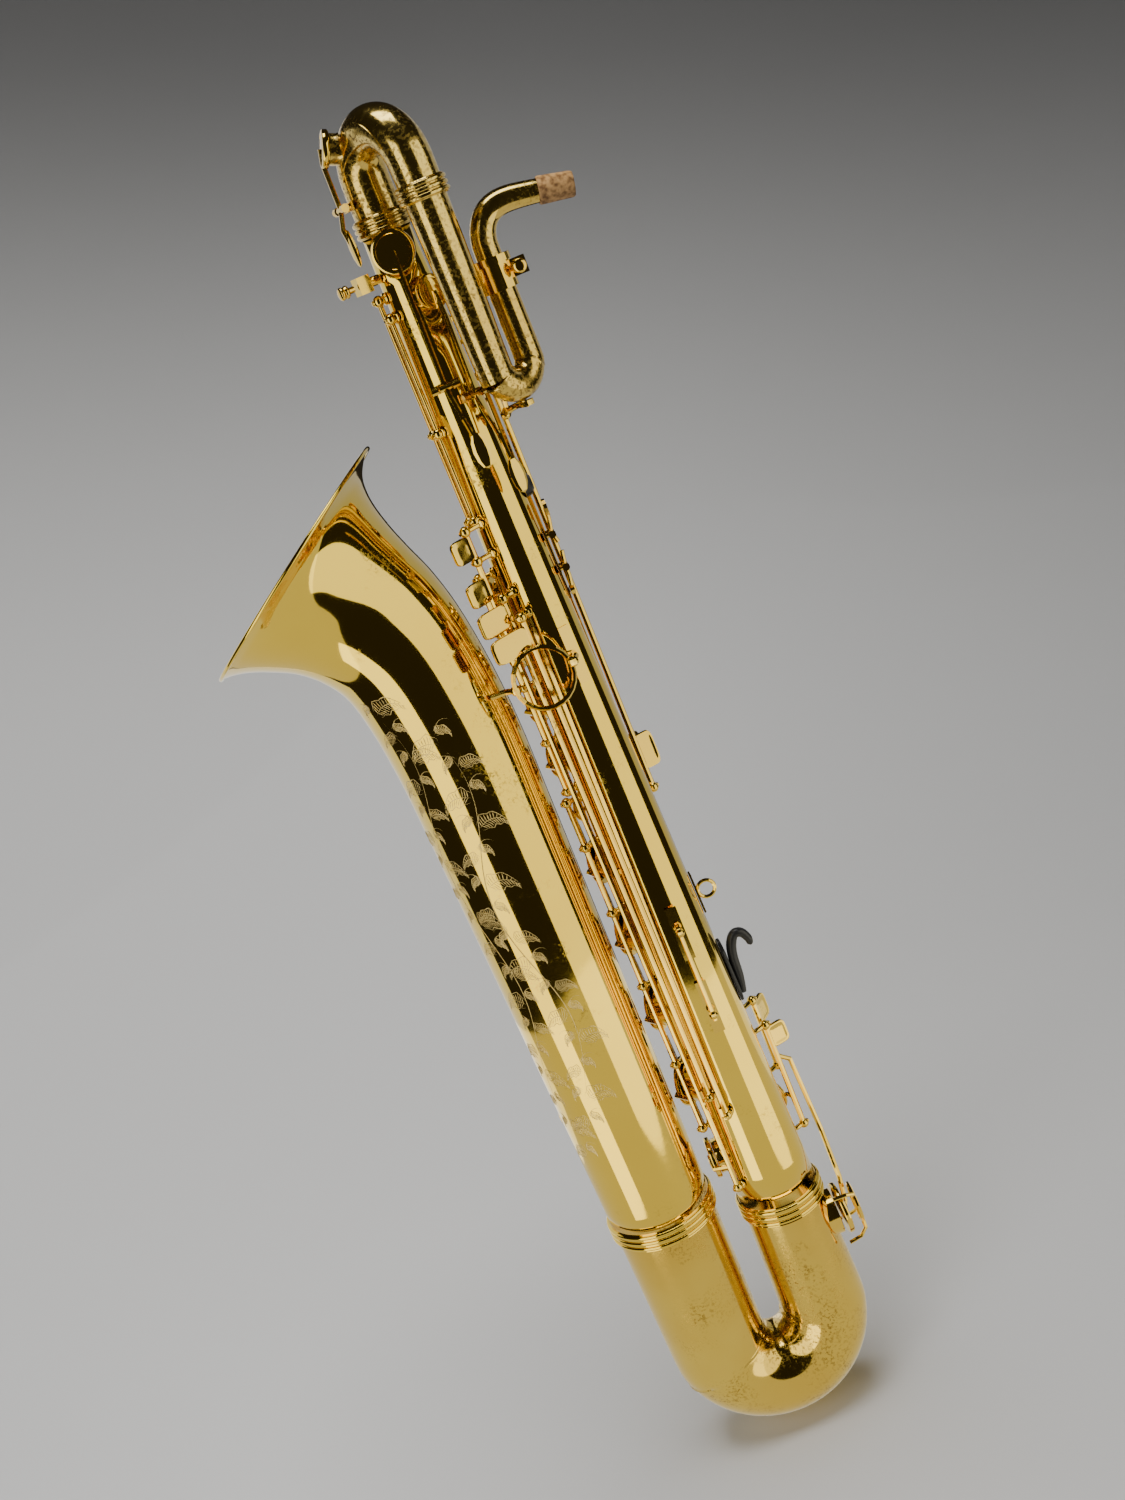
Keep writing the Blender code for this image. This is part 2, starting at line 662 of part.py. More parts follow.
LOWER_LINE = (-38.0, -9.0)
UPPER_LINE = (-34.0, -8.0)
LOWER_POSTS = (284, 346, 420, 487, 545, 584)
UPPER_POSTS = (592, 634, 680, 724, 768)
rib("stack_rib", [(LOWER_LINE, LOWER_POSTS, 280, 586.0), (UPPER_LINE, UPPER_POSTS, 585.0, 772)],
    body_r, ties=(585.5,))
LOWER_NAMES = ("d_key", "e_key", "f_key", "f_sharp_key", "g_sharp_key")
for i, name in enumerate(LOWER_NAMES):
    stack_key(name, LOWER_LINE, LOWER_POSTS[i] + 3.0, LOWER_POSTS[i + 1] - 3.0, [LOWER_HOLES[i]],
              0.0 if name == "g_sharp_key" else 7.0, pearl=i < 3)
UPPER_NAMES = ("g_key", "a_key", "bis_key", "b_key")
for i, name in enumerate(UPPER_NAMES):
    stack_key(name, UPPER_LINE, UPPER_POSTS[i] + 3.0, UPPER_POSTS[i + 1] - 3.0, [UPPER_HOLES[i]],
              7.0, pearl=i in (0, 1, 3))

# ---- left little-finger table: long rods down the body with a plate at the top ----
CS_LINE = (-30.0, -23.0)
B_LINE = (-23.5, -28.5)
BB_LINE = (-16.0, -33.0)
rib("table_rib", [(CS_LINE, (230, 783, 806), 226, 808), (B_LINE, (318, 752), 314, 755),
                  (BB_LINE, (300, 735), 296, 738)], body_r, ties=(520, 520))


def long_key(name, line, z0, z1, plate, hole=None, foot=None):
    """Long hinge rod with a finger plate, and a cup or a short linking arm at its foot."""
    z, direction, length, width = plate
    pieces = [tube_piece(line, z0, z1), plate_piece(line, z, direction, length, width)]
    if hole:
        pieces += cup_pieces(line, hole)
    if foot:
        pieces.append(plate_piece(line, foot[0], foot[1], 9.0, 7.0))
    middle = (z0 + z1) / 2.0
    hinge(name, line, middle)
    return fused(name, pieces, "rod_brass", pivot=(line[0], line[1], middle))


long_key("low_c_sharp_key", CS_LINE, 233, 780, (762, (-0.75, -0.66, 0), 19.0, 15.0), LOW_CS_HOLE)
long_key("g_sharp_touch", CS_LINE, 786, 803, (794.5, (-0.75, -0.66, 0), 17.0, 15.0))
long_key("low_b_touch", B_LINE, 321, 749, (740, (-0.8, -0.6, 0), 27.0, 16.0), None,
         (326, (-0.6, -0.8, 0)))
long_key("low_b_flat_touch", BB_LINE, 303, 732, (720, (-0.85, -0.5, 0), 32.0, 16.0), None,
         (308, (-0.4, -0.9, 0)))

# ---- side keys, worked by the right palm ----
SIDE_LINES = [(17.0, 28.0), (23.5, 23.5), (29.0, 18.0)]
SIDE_TOPS = [853, 900, 945]
SIDE_FACES = [(0.3, 0.95, 0), (0.7, 0.7, 0), (0.95, 0.3, 0)]
SIDE_NAMES = ["side_b_flat_key", "side_c_key", "side_high_e_key"]
for line, top, face, name, hole in zip(SIDE_LINES, SIDE_TOPS, SIDE_FACES, SIDE_NAMES, SIDE_HOLES):
    long_key(name, line, 563, top - 3.0, (590, face, 13.0, 26.0), hole)

rib("side_key_rib", [(line, (560, top), 556, top + 3) for line, top in zip(SIDE_LINES, SIDE_TOPS)],
    body_r, width=2.6, ties=(700, 700))

# ---- low keys at the right little finger ----
EB_LINE = (41.0, 19.0)
long_key("low_e_flat_key", EB_LINE, 239, 330, (321, (0.95, 0.3, 0), 15.0, 17.0), LOW_EB_HOLE)
C_LINE = (39.0, 28.5)
rib("low_key_rib", [(EB_LINE, (236, 333), 232, 337), (C_LINE, (290, 353), 286, 357)], body_r,
    ties=(300,))
LOW_C_HOLE = (160, Vector((1.0, 0.0, 0.0)), 19.0, 38.5)


def low_c_cup(bm):
    """Link from the end of the hinge tube down to the cup."""
    points = [(C_LINE[0], C_LINE[1], 300), (50.5, 29.0, 290), (52.5, 24.0, 220),
              (50.5, 12.0, 180), (46.5, 2.0, 163), (44.0, 0.0, 160)]
    sweep(bm, points, 2.2, 8)


def low_c_disc(bm):
    """Cup of the low C key."""
    rod(bm, (38.85, 0, 160), (43.2, 0, 160), 21.2, 22, 20.0)
    rod(bm, (42.8, 0, 160), (45.6, 0, 160), 4.0, 12)


hinge("low_c_key", C_LINE, 322)
low_c = [tube_piece(C_LINE, 293, 350), low_c_disc, low_c_cup,
         plate_piece(C_LINE, 340, (0.6, 0.8, 0), 18.0, 18.0)]
fused("low_c_key", spin_pieces(low_c, C_LINE, 4.0), "brass", pivot=(C_LINE[0], C_LINE[1], 322))

# ---- bell keys ----
BELL_LINE = (-94.0, 60.5)
BELL_POSTS = (280, 360, 455, 545)
rib("bell_key_rib", [(BELL_LINE, BELL_POSTS, 276, 549)], bell_r, (BELL_X, 0.0), 4.0)
for i, name in enumerate(("low_a_key", "low_b_flat_key", "low_b_key")):
    stack_key(name, BELL_LINE, BELL_POSTS[i] + 3.0, BELL_POSTS[i + 1] - 3.0,
              [BELL_HOLES[2 - i]], -6.0, (BELL_X, 0.0))


def guard(name, hole):
    """Wire guard that arches over a bell cup on two feet."""
    z, d, r, far = hole
    low = far - CHIMNEY + 1.4

    def point(out, height):
        return (BELL_X + d.x * out, d.y * out, height)

    def arch(bm):
        sweep(bm, [point(low + 0.6, z - 29), point(far + 10, z - 29), point(far + 14.5, z - 22),
                   point(far + 15.5, z), point(far + 14.5, z + 22), point(far + 10, z + 29),
                   point(low + 0.6, z + 29)], 1.8, 8)

    def feet(bm):
        rod(bm, point(low, z - 29), point(low + 1.4, z - 29), 4.5, 12)
        rod(bm, point(low, z + 29), point(low + 1.4, z + 29), 4.5, 12)

    def bumper(bm):
        rod(bm, point(far + 12.6, z), point(far + 17.5, z), 4.5, 12)
    return fused(name, [arch, feet, bumper], "brass")


for hole, name in zip(BELL_HOLES, ("low_b_guard", "low_b_flat_guard")):
    guard(name, hole)


# ---- palm keys: levers across the tube ----
def lever_key(name, centre, d, cup_at, cup_dir, cup_r, touch, post_node, base):
    """Lever with a cup above its short hinge tube and a leaf touch below it."""
    d = Vector(d).normalized()
    t = Vector((-d.y, d.x, 0.0))
    c = Vector(centre)
    top = Vector(cup_at)
    up = Vector(cup_dir).normalized()
    spot = Vector(touch)

    def tube(bm):
        rod(bm, tuple(c - t * 4.5), tuple(c + t * 4.5), 2.3, 10)

    def arm(bm):
        sweep(bm, [tuple(top + up * (CUP + 1.0)), tuple(c * 0.25 + top * 0.75 + up * 5.5),
                   tuple(c), tuple(c * 0.5 + spot * 0.5 + d * 3.0), tuple(spot)], 1.8, 8)

    def cup(bm):
        rod(bm, tuple(top), tuple(top + up * CUP), cup_r, 14, cup_r - 1.0)

    def leaf(bm):
        size = Matrix.Diagonal((0.0065, 0.0022, 0.0135, 1.0))
        spin = Vector((0, -1, 0)).rotation_difference(d).to_matrix().to_4x4()
        bmesh.ops.create_uvsphere(bm, u_segments=10, v_segments=6, radius=1.0,
                                  matrix=Matrix.Translation(at(*spot)) @ spin @ size)

    def posts(bm):
        for side in (-1.0, 1.0):
            p = c + t * (side * 7.8)
            inner = d * (base + 0.9) + Vector((0, 0, c.z)) + t * (side * 7.8) * 0.8
            rod(bm, tuple(p - t * 2.6), tuple(p + t * 2.6), 3.0, 10)
            rod(bm, tuple(inner), tuple(p), 1.7, 8)

    def foot(bm):
        mid = d * (base + 1.5) + Vector((0, 0, c.z))
        bar(bm, tuple(mid - t * 9.0), tuple(mid + t * 9.0), 6.0, 1.6, tuple(d))
    fused(name, [tube, arm, cup, leaf], "brass", pivot=tuple(c))
    fused(post_node, [foot, posts], "rod_brass")
    HINGES[name] = (tuple(round(v, 6) for v in at(*c)), (round(t.x, 5), round(t.y, 5), 0.0))


for name, hole, z, shift, touch in (
        ("palm_d_key", PALM_HOLES[0], 905, -2.0, (3, -41, 857)),
        ("palm_e_flat_key", PALM_HOLES[1], 893, 0.0, (20, -42, 832))):
    hz, d, r, far = hole
    t = Vector((-d.y, d.x, 0.0))
    centre = d * (body_r(z) + 7.5) + t * shift
    lid = d * (far + GAP)
    lever_key(name, (centre.x, centre.y, z), d, (lid.x, lid.y, hz), d, r + 2.2, touch,
              name.replace("key", "posts"), body_r(z))
F_LINE_DIR = Vector((-0.94, -0.34, 0.0)).normalized()
F_CENTRE = F_LINE_DIR * 25.0
F_TOP = F_FROM + F_DIR * (F_FAR + GAP)
lever_key("front_f_key", (F_CENTRE.x, F_CENTRE.y, 1040.0), F_LINE_DIR, tuple(F_TOP), F_DIR, 12.5,
          (-25.5, -9.2, 1014), "front_f_posts", 17.6)


# ---- octave mechanism and thumb rest on the back ----
def bridge(name, z, reach, pad, hook):
    """Short lever on a hinge tube across the back of the body."""
    x = body_r(z) + 6.0

    def tube(bm):
        rod(bm, (x, -4.0, z), (x, 4.0, z), 2.2, 10)

    def arm(bm):
        sweep(bm, hook + [(x + 0.3, 0.1, z + 0.2)] + reach, 1.7, 8)

    def end(bm):
        rod(bm, pad[0], pad[1], pad[2], 12)
    HINGES[name] = (tuple(round(v, 6) for v in at(x, 0, z)), (0, 1, 0))
    return fused(name, [tube, arm, end], "brass", pivot=(x, 0, z))


bridge("octave_touch", 778, [(30.5, 0, 788), (31, 0, 797)], ((29.8, 0, 797), (32.4, 0, 797), 6.5),
       [(30.6, 0, 770)])
bridge("octave_vent_key", 752, [(29.0, 0, 744), (27.5, 0, 734)],
       ((25.6, 0, 733), (29.0, 0, 733), 3.6), [(30.6, 0, 763)])


def octave_strip(bm):
    """Strip under the octave posts."""
    bar(bm, (body_r(728) + 0.9, 0, 728), (body_r(784) + 0.9, 0, 784), 6.0, 1.1, (1, 0, 0))


def octave_heads(bm):
    """Posts either side of each octave lever, and the vent pip."""
    for z in (752, 778):
        x = body_r(z) + 6.0
        for y in (-7.0, 7.0):
            rod(bm, (x, y - 2.4, z), (x, y + 2.4, z), 2.9, 10)
            rod(bm, (body_r(z) + 0.9, y, z), (x, y, z), 1.7, 8)
        bar(bm, (body_r(z) + 1.0, -9.0, z), (body_r(z) + 1.0, 9.0, z), 6.0, 1.2, (1, 0, 0))
    rod(bm, (body_r(733) + 0.8, 0, 733), (25.2, 0, 733), 2.6, 10)


fused("octave_posts", [octave_strip, octave_heads], "rod_brass")


def thumb_pad(bm):
    """Domed pad of the thumb rest."""
    rod(bm, (body_r(818) + 0.6, 0, 818), (body_r(818) + 5.5, 0, 818), 9.5, 20, 8.5)


def thumb_dome(bm):
    """Rounded top of the thumb rest."""
    rod(bm, (body_r(818) + 5.0, 0, 818), (body_r(818) + 7.6, 0, 818), 8.4, 20, 5.0)


fused("thumb_rest", [thumb_pad, thumb_dome], "black")


# ---- strap ring and thumb hook on the back ----
def strap_wire(bm):
    """The ring itself; its hole runs from side to side."""
    ring(bm, (37.0, 0.0, 472.0), (0, 1, 0), 6.9, 1.6, 20, 8)


def strap_base(bm):
    """Plate soldered to the tube."""
    bar(bm, (body_r(455) + 1.2, 0, 455), (body_r(489) + 1.2, 0, 489), 9.0, 1.5, (1, 0, 0))


fused("strap_ring", [strap_base, strap_wire], "brass")


def hook_plate(bm):
    """Base of the thumb hook."""
    bar(bm, (body_r(372) + 1.4, 0, 372), (body_r(428) + 1.4, 0, 428), 13.0, 2.0, (1, 0, 0))


def hook_curve(bm):
    """Curved finger of the thumb hook."""
    points = [(33.8, 0, 378), (35.8, 0, 392), (36.8, 0, 410), (39.5, 0, 421), (44, 0, 427),
              (49.5, 0, 426), (53, 0, 420), (53.5, 0, 415)]
    sweep(bm, points, 3.0, 10, radii=[3.0, 3.6, 4.0, 4.2, 4.0, 3.8, 3.4, 2.6])


fused("thumb_hook", [hook_plate, hook_curve], "black")


# ---- bell brace ----
def brace_ring(bm):
    """Large wire ring between body and bell."""
    ring(bm, (-17.5, -43.5, 690.0), (0.12, -1.0, 0.1), 22.5, 1.9, 24, 6)


def brace_balls(bm):
    """Screw-head balls on the ring."""
    ball(bm, (6.5, -44.0, 693.0), 4.2, 6)
    ball(bm, (-39.8, -43.5, 689.0), 4.2, 6)


def brace_legs(bm):
    """Legs down to the body and across to the bell."""
    sweep(bm, [(6.5, -44.0, 693.0), (10.0, -34.0, 694.0), (9.5, -24.5, 694.0)], 2.4, 8)
    sweep(bm, [(-39.8, -43.5, 689.0), (-47.0, -36.0, 689.0), (-58.5, -33.4, 689.0)], 2.4, 8)


def brace_feet(bm):
    """Leaf foot on the body."""
    bar(bm, (9.8, -23.6, 670.0), (9.2, -22.6, 715.0), 9.0, 1.4, (0.38, -0.92, 0))


fused("bell_brace", [brace_ring, brace_balls, brace_legs, brace_feet], "brass")


# ---- lyre holder, guards and trim ----
def lyre_block(bm):
    """Square block that takes the music clip."""
    bar(bm, (-29.5, -13.0, 983), (-29.5, -13.0, 995), 10.0, 10.0, (-0.9, -0.4, 0))


def lyre_leg(bm):
    """Leg from the body to the block."""
    rod(bm, (-17.3, -7.7, 989), (-28.0, -12.4, 989), 3.4, 10)


fused("lyre_holder", [lyre_block, lyre_leg], "brass")
screw("lyre_screw", (-36.0, -15.9, 989), (-0.9, -0.4, 0), 4.4)


def leaf_plates(bm):
    """Two pointed plates on the left of the lower body."""
    for z in (458, 392):
        y = -body_r(z) - 1.6
        bar(bm, (4.0, y, z - 23), (4.0, y, z + 23), 9.0, 1.4, (0, -1, 0))


def leaf_rod(bm):
    """Guard rod between the two posts."""
    rod(bm, (4.0, -38.0, 383), (4.0, -37.0, 466), 1.9, 10)


def leaf_posts(bm):
    """Ball posts of the guard rod."""
    rod(bm, (4.0, -29.3, 462), (4.0, -37.4, 462), 2.2, 8)
    rod(bm, (4.0, -30.4, 388), (4.0, -38.2, 388), 2.2, 8)
    ball(bm, (4.0, -37.8, 462), 3.6, 6)
    ball(bm, (4.0, -38.6, 388), 3.6, 6)


fused("left_guard_rod", [leaf_rod, leaf_posts, leaf_plates], "brass")


def low_c_ring(bm):
    """Ring of the low C guard."""
    ring(bm, (55.5, 0, 160), (1, 0, 0), 16.0, 1.8, 18, 6)


def low_c_legs(bm):
    """Legs of the low C guard, one above and two below."""
    for angle in (-50, 130, 230):
        a = math.radians(angle)
        y, z = math.cos(a), math.sin(a)
        sweep(bm, [(55.5, y * 16.0, 160 + z * 16.0), (55.0, y * 22.0, 160 + z * 22.0),
                   (49.0, y * 27.0, 160 + z * 27.0), (38.0, y * 28.5, 160 + z * 28.5)], 1.7, 8)


fused("low_c_guard", [low_c_ring, low_c_legs], "brass")

# ---- water key under the pigtail ----
LOW_X, LOW_Y = (RX + UX) / 2.0, (RY + UY) / 2.0
LOW_Z = 906.0 - HALF - 11.6
SIDE_X, SIDE_Y = -PY, PX


def water_cup(bm):
    """Cork-faced cup under the spit hole."""
    rod(bm, (LOW_X, LOW_Y, LOW_Z - 4.6), (LOW_X, LOW_Y, LOW_Z - 1.0), 5.0, 14)


def water_arm(bm):
    """Lever of the water key."""
    sweep(bm, [(LOW_X, LOW_Y, LOW_Z - 4.0), (LOW_X + SIDE_X * 14, LOW_Y + SIDE_Y * 14, LOW_Z - 3.0),
               (LOW_X + SIDE_X * 25, LOW_Y + SIDE_Y * 25, LOW_Z - 6.0)], 1.7, 8)


def water_tube(bm):
    """Hinge tube of the water key."""
    x, y, z = LOW_X + SIDE_X * 14, LOW_Y + SIDE_Y * 14, LOW_Z - 3.0
    rod(bm, (x - PX * 4.5, y - PY * 4.5, z), (x + PX * 4.5, y + PY * 4.5, z), 2.3, 10)


def water_touch(bm):
    """Finger end of the water key."""
    ball(bm, (LOW_X + SIDE_X * 26, LOW_Y + SIDE_Y * 26, LOW_Z - 6.2), 4.0, 8)


WATER = (LOW_X + SIDE_X * 14, LOW_Y + SIDE_Y * 14, LOW_Z - 3.0)
fused("water_key", [water_tube, water_arm, water_cup, water_touch], "brass", pivot=WATER)
HINGES["water_key"] = (tuple(round(v, 6) for v in at(*WATER)), (round(PX, 5), round(PY, 5), 0.0))


def water_heads(bm):
    """Posts of the water key, hung from the bend."""
    x, y, z = WATER
    for side in (-1.0, 1.0):
        a = (x + PX * 7.6 * side, y + PY * 7.6 * side)
        rod(bm, (a[0] - PX * 2.4, a[1] - PY * 2.4, z), (a[0] + PX * 2.4, a[1] + PY * 2.4, z), 2.9, 10)
        rod(bm, (a[0], a[1], z), (a[0] - SIDE_X * 1.5, a[1] - SIDE_Y * 1.5, z + 9.0), 1.7, 8)


def water_saddle(bm):
    """Cross bar that joins the two posts."""
    x, y, z = WATER
    c = (x - SIDE_X * 1.3, y - SIDE_Y * 1.3, z + 8.0)
    rod(bm, (c[0] - PX * 9, c[1] - PY * 9, c[2]), (c[0] + PX * 9, c[1] + PY * 9, c[2]), 1.8, 8)


fused("water_key_posts", [water_saddle, water_heads], "rod_brass")
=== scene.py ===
import math
import bmesh
import bpy
from mathutils import Matrix, Vector


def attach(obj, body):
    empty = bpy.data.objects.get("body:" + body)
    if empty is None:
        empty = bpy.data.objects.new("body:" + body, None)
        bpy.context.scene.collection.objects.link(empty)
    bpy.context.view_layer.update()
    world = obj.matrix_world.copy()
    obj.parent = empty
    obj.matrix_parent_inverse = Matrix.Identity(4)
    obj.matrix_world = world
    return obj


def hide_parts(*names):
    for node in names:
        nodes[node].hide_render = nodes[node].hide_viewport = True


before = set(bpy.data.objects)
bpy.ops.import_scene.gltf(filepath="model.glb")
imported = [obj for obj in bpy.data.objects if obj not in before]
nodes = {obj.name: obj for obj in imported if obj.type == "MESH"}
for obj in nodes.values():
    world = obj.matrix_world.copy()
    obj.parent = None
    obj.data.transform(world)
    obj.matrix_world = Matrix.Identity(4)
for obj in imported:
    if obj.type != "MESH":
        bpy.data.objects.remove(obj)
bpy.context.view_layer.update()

# ---- Body tube ----
# The straight, narrowing tube that carries the keys. It is rolled from sheet brass and lacquered,
# and each tone hole has a chimney, a turned ring soldered to the wall round the opening.
def at(x, y, z):
    """Millimetres from the foot of the bow, on the body's axis, to the frame's metres."""
    return Vector(((x - 37.0) / 1000.0, y / 1000.0, (z - 472.0) / 1000.0))


def flowing(values, t):
    """Value at t along a list, on a smooth line through every entry."""
    i = min(int(t), len(values) - 2)
    u = t - i
    p = [values[max(0, min(len(values) - 1, i + k))] for k in (-1, 0, 1, 2)]
    return (p[1] + (p[2] - p[0]) * (0.5 * u)
            + (p[0] * 2.0 - p[1] * 5.0 + p[2] * 4.0 - p[3]) * (0.5 * u * u)
            + (p[1] * 3.0 - p[0] - p[2] * 3.0 + p[3]) * (0.5 * u * u * u))


def finished(name, bm, body, replaced=(), wall=0.0, mat=None):
    """Mesh object that rides on its body. A skin is open, faces outwards and gets its wall inwards."""
    shape = bpy.data.meshes.new(name)
    if not wall:
        bmesh.ops.recalc_face_normals(bm, faces=bm.faces)
    bm.to_mesh(shape)
    bm.free()
    shape.shade_smooth()
    shape.set_sharp_from_angle(angle=math.radians(42.0))
    ob = bpy.data.objects.new(name, shape)
    bpy.context.scene.collection.objects.link(ob)
    if wall:
        mod = ob.modifiers.new("wall", "SOLIDIFY")
        mod.thickness = wall
        mod.offset = -1.0
    shape.materials.append(mat)
    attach(ob, body)
    if replaced:
        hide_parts(*replaced)
    return ob


def skinned(bm, loops, capped=False):
    """Bands of faces between rings of points, closed by caps where asked."""
    sides = len(loops[0])
    for low, high in zip(loops, loops[1:]):
        for k in range(sides):
            bm.faces.new((low[k], low[(k + 1) % sides], high[(k + 1) % sides], high[k]))
    if capped:
        bm.faces.new(loops[0])
        bm.faces.new(loops[-1])


def pipe(bm, points, radii, sides, per=6, closed_ends=False):
    """Round skin of changing radius along a smooth line, rings carried without twist."""
    line = [Vector(p) for p in points]
    count = (len(line) - 1) * per
    spots = [flowing(line, i / per) for i in range(count + 1)]
    sizes = [flowing(radii, i / per) for i in range(count + 1)]
    side = None
    loops = []
    for i, spot in enumerate(spots):
        along = (spots[min(i + 1, count)] - spots[max(i - 1, 0)]).normalized()
        if side is None:
            side = along.orthogonal().normalized()
        side = (side - along * side.dot(along)).normalized()
        other = along.cross(side)
        loop = []
        for k in range(sides):
            a = 2.0 * math.pi * k / sides
            p = spot + (side * math.cos(a) + other * math.sin(a)) * sizes[i]
            loop.append(bm.verts.new(at(*p)))
        loops.append(loop)
    skinned(bm, loops, closed_ends)


def turned(bm, base, axis, profile, sides=48, seam=True):
    """Lathe work: (radius, height) pairs carried round an axis, joined last to first or capped."""
    spin = Vector(axis).to_track_quat("Z", "Y").to_matrix()
    loops = []
    for r, h in profile:
        loop = []
        for k in range(sides):
            a = 2.0 * math.pi * k / sides
            p = Vector(base) + spin @ Vector((max(r, 0.01) * math.cos(a), max(r, 0.01) * math.sin(a), h))
            loop.append(bm.verts.new(at(*p)))
        loops.append(loop)
    if seam:
        skinned(bm, loops + [loops[0]])
    else:
        skinned(bm, loops, True)


def brass(name, base, rough, wear=0.0, pits=0.0, tint=0.05):
    """Lacquered brass: uneven lacquer, fine hairlines, and worn, pitted places where asked."""
    mat = bpy.data.materials.new(name)
    mat.use_nodes = True
    tree = mat.node_tree
    shader = tree.nodes["Principled BSDF"]
    shader.inputs["Metallic"].default_value = 1.0
    shader.inputs["Coat Weight"].default_value = 0.25
    shader.inputs["Coat Roughness"].default_value = 0.06
    place = tree.nodes.new("ShaderNodeTexCoord")

    def noise(scale, detail, rough_=0.55):
        made = tree.nodes.new("ShaderNodeTexNoise")
        made.inputs["Scale"].default_value = scale
        made.inputs["Detail"].default_value = detail
        made.inputs["Roughness"].default_value = rough_
        tree.links.new(place.outputs["Object"], made.inputs["Vector"])
        return made

    def ramp(source, low, high, dark, light):
        made = tree.nodes.new("ShaderNodeValToRGB")
        made.color_ramp.elements[0].position = low
        made.color_ramp.elements[1].position = high
        made.color_ramp.elements[0].color = dark
        made.color_ramp.elements[1].color = light
        tree.links.new(source, made.inputs["Fac"])
        return made
    clouds = noise(9.0, 4.0)
    tone = ramp(clouds.outputs["Fac"], 0.32, 0.7,
                (base[0] * (1 - tint), base[1] * (1 - 1.6 * tint), base[2] * (1 - 3 * tint), 1),
                (*base, 1))
    fine = noise(170.0, 6.0, 0.7)
    gloss = ramp(fine.outputs["Fac"], 0.3, 0.8, (rough * 0.8,) * 3 + (1,), (rough * 1.35,) * 3 + (1,))
    colour = tone.outputs["Color"]
    shine = gloss.outputs["Color"]
    if pits:
        speck = noise(420.0, 3.0, 0.6)
        where = noise(16.0, 5.0, 0.65)
        mask = tree.nodes.new("ShaderNodeMath")
        mask.operation = "MULTIPLY"
        spots = ramp(speck.outputs["Fac"], 0.50, 0.60, (0, 0, 0, 1), (1, 1, 1, 1))
        zones = ramp(where.outputs["Fac"], 0.62 - pits * 0.22, 0.78 - pits * 0.22, (0, 0, 0, 1), (1, 1, 1, 1))
        tree.links.new(spots.outputs["Color"], mask.inputs[0])
        tree.links.new(zones.outputs["Color"], mask.inputs[1])
        mix = tree.nodes.new("ShaderNodeMix")
        mix.data_type = "RGBA"
        mix.inputs[7].default_value = (base[0] * 0.42, base[1] * 0.36, base[2] * 0.3, 1)
        tree.links.new(mask.outputs[0], mix.inputs[0])
        tree.links.new(colour, mix.inputs[6])
        colour = mix.outputs[2]
        dull = tree.nodes.new("ShaderNodeMix")
        dull.data_type = "RGBA"
        dull.inputs[7].default_value = (0.5, 0.5, 0.5, 1)
        tree.links.new(mask.outputs[0], dull.inputs[0])
        tree.links.new(shine, dull.inputs[6])
        shine = dull.outputs[2]
    tree.links.new(colour, shader.inputs["Base Color"])
    tree.links.new(shine, shader.inputs["Roughness"])
    bump = tree.nodes.new("ShaderNodeBump")
    bump.inputs["Strength"].default_value = 0.06 + wear * 0.2
    bump.inputs["Distance"].default_value = 0.0006
    dents = noise(34.0 + 60.0 * wear, 5.0, 0.6)
    tree.links.new(dents.outputs["Fac"], bump.inputs["Height"])
    tree.links.new(bump.outputs["Normal"], shader.inputs["Normal"])
    return mat


GOLD = brass("gold_lacquer", (0.90, 0.65, 0.085), 0.06, 0.0, 0.25)
KEYS = brass("key_lacquer", (0.90, 0.64, 0.11), 0.09, 0.1, 0.15, 0.08)


def body_r(z):
    return 33.2 - 0.019 * (z - 200.0)


def drilled(ob, name, holes):
    """Opens each tone hole through the wall."""
    bm = bmesh.new()
    for base, d, near, far, r in holes:
        turned(bm, Vector(base) + d * near, d, [(r, 0.0), (r, far - near)], 40, seam=False)
    shape = bpy.data.meshes.new(name)
    bmesh.ops.recalc_face_normals(bm, faces=bm.faces)
    bm.to_mesh(shape)
    bm.free()
    tool = bpy.data.objects.new(name, shape)
    bpy.context.scene.collection.objects.link(tool)
    mod = ob.modifiers.new(name, "BOOLEAN")
    mod.operation = "DIFFERENCE"
    mod.solver = "EXACT"
    mod.object = tool
    bpy.context.view_layer.objects.active = ob
    for each in list(ob.modifiers):
        bpy.ops.object.modifier_apply(modifier=each.name)
    bpy.data.objects.remove(tool, do_unlink=True)


def facing(degrees):
    a = math.radians(degrees)
    return Vector((-math.cos(a), math.sin(a), 0.0))


STACK = [(z, facing(35.0), r) for z, r in ((312, 18.0), (385, 17.5), (455, 17.0), (520, 16.0), (567, 9.0),
                                           (612, 14.0), (658, 13.5), (703, 13.0), (747, 12.0))]
SIDES = [(z, Vector((0.0, 1.0, 0.0)), r) for z, r in ((835, 10.0), (882, 9.0), (927, 8.0))]
PALMS = [(1002, Vector((-0.05, -1.0, 0.0)).normalized(), 12.5),
         (968, Vector((0.5, -0.87, 0.0)).normalized(), 9.5)]
LOWS = [(262, Vector((0.5, 0.87, 0.0)).normalized(), 16.0), (250, Vector((-1.0, 0.0, 0.0)), 14.5)]
bm = bmesh.new()
pipe(bm, [(0, 0, z) for z in (197, 400, 600, 800, 1022)],
     [body_r(z) for z in (197, 400, 600, 800, 1022)], 128, 4)
tube = finished("body_tube_skin", bm, "body", ("body_tube",), 0.0012, GOLD)
BODY_HOLES = STACK + SIDES + PALMS + LOWS
drilled(tube, "holes", [((0, 0, z), d, 5.0, body_r(z) + 4.0, r - 1.6) for z, d, r in BODY_HOLES])
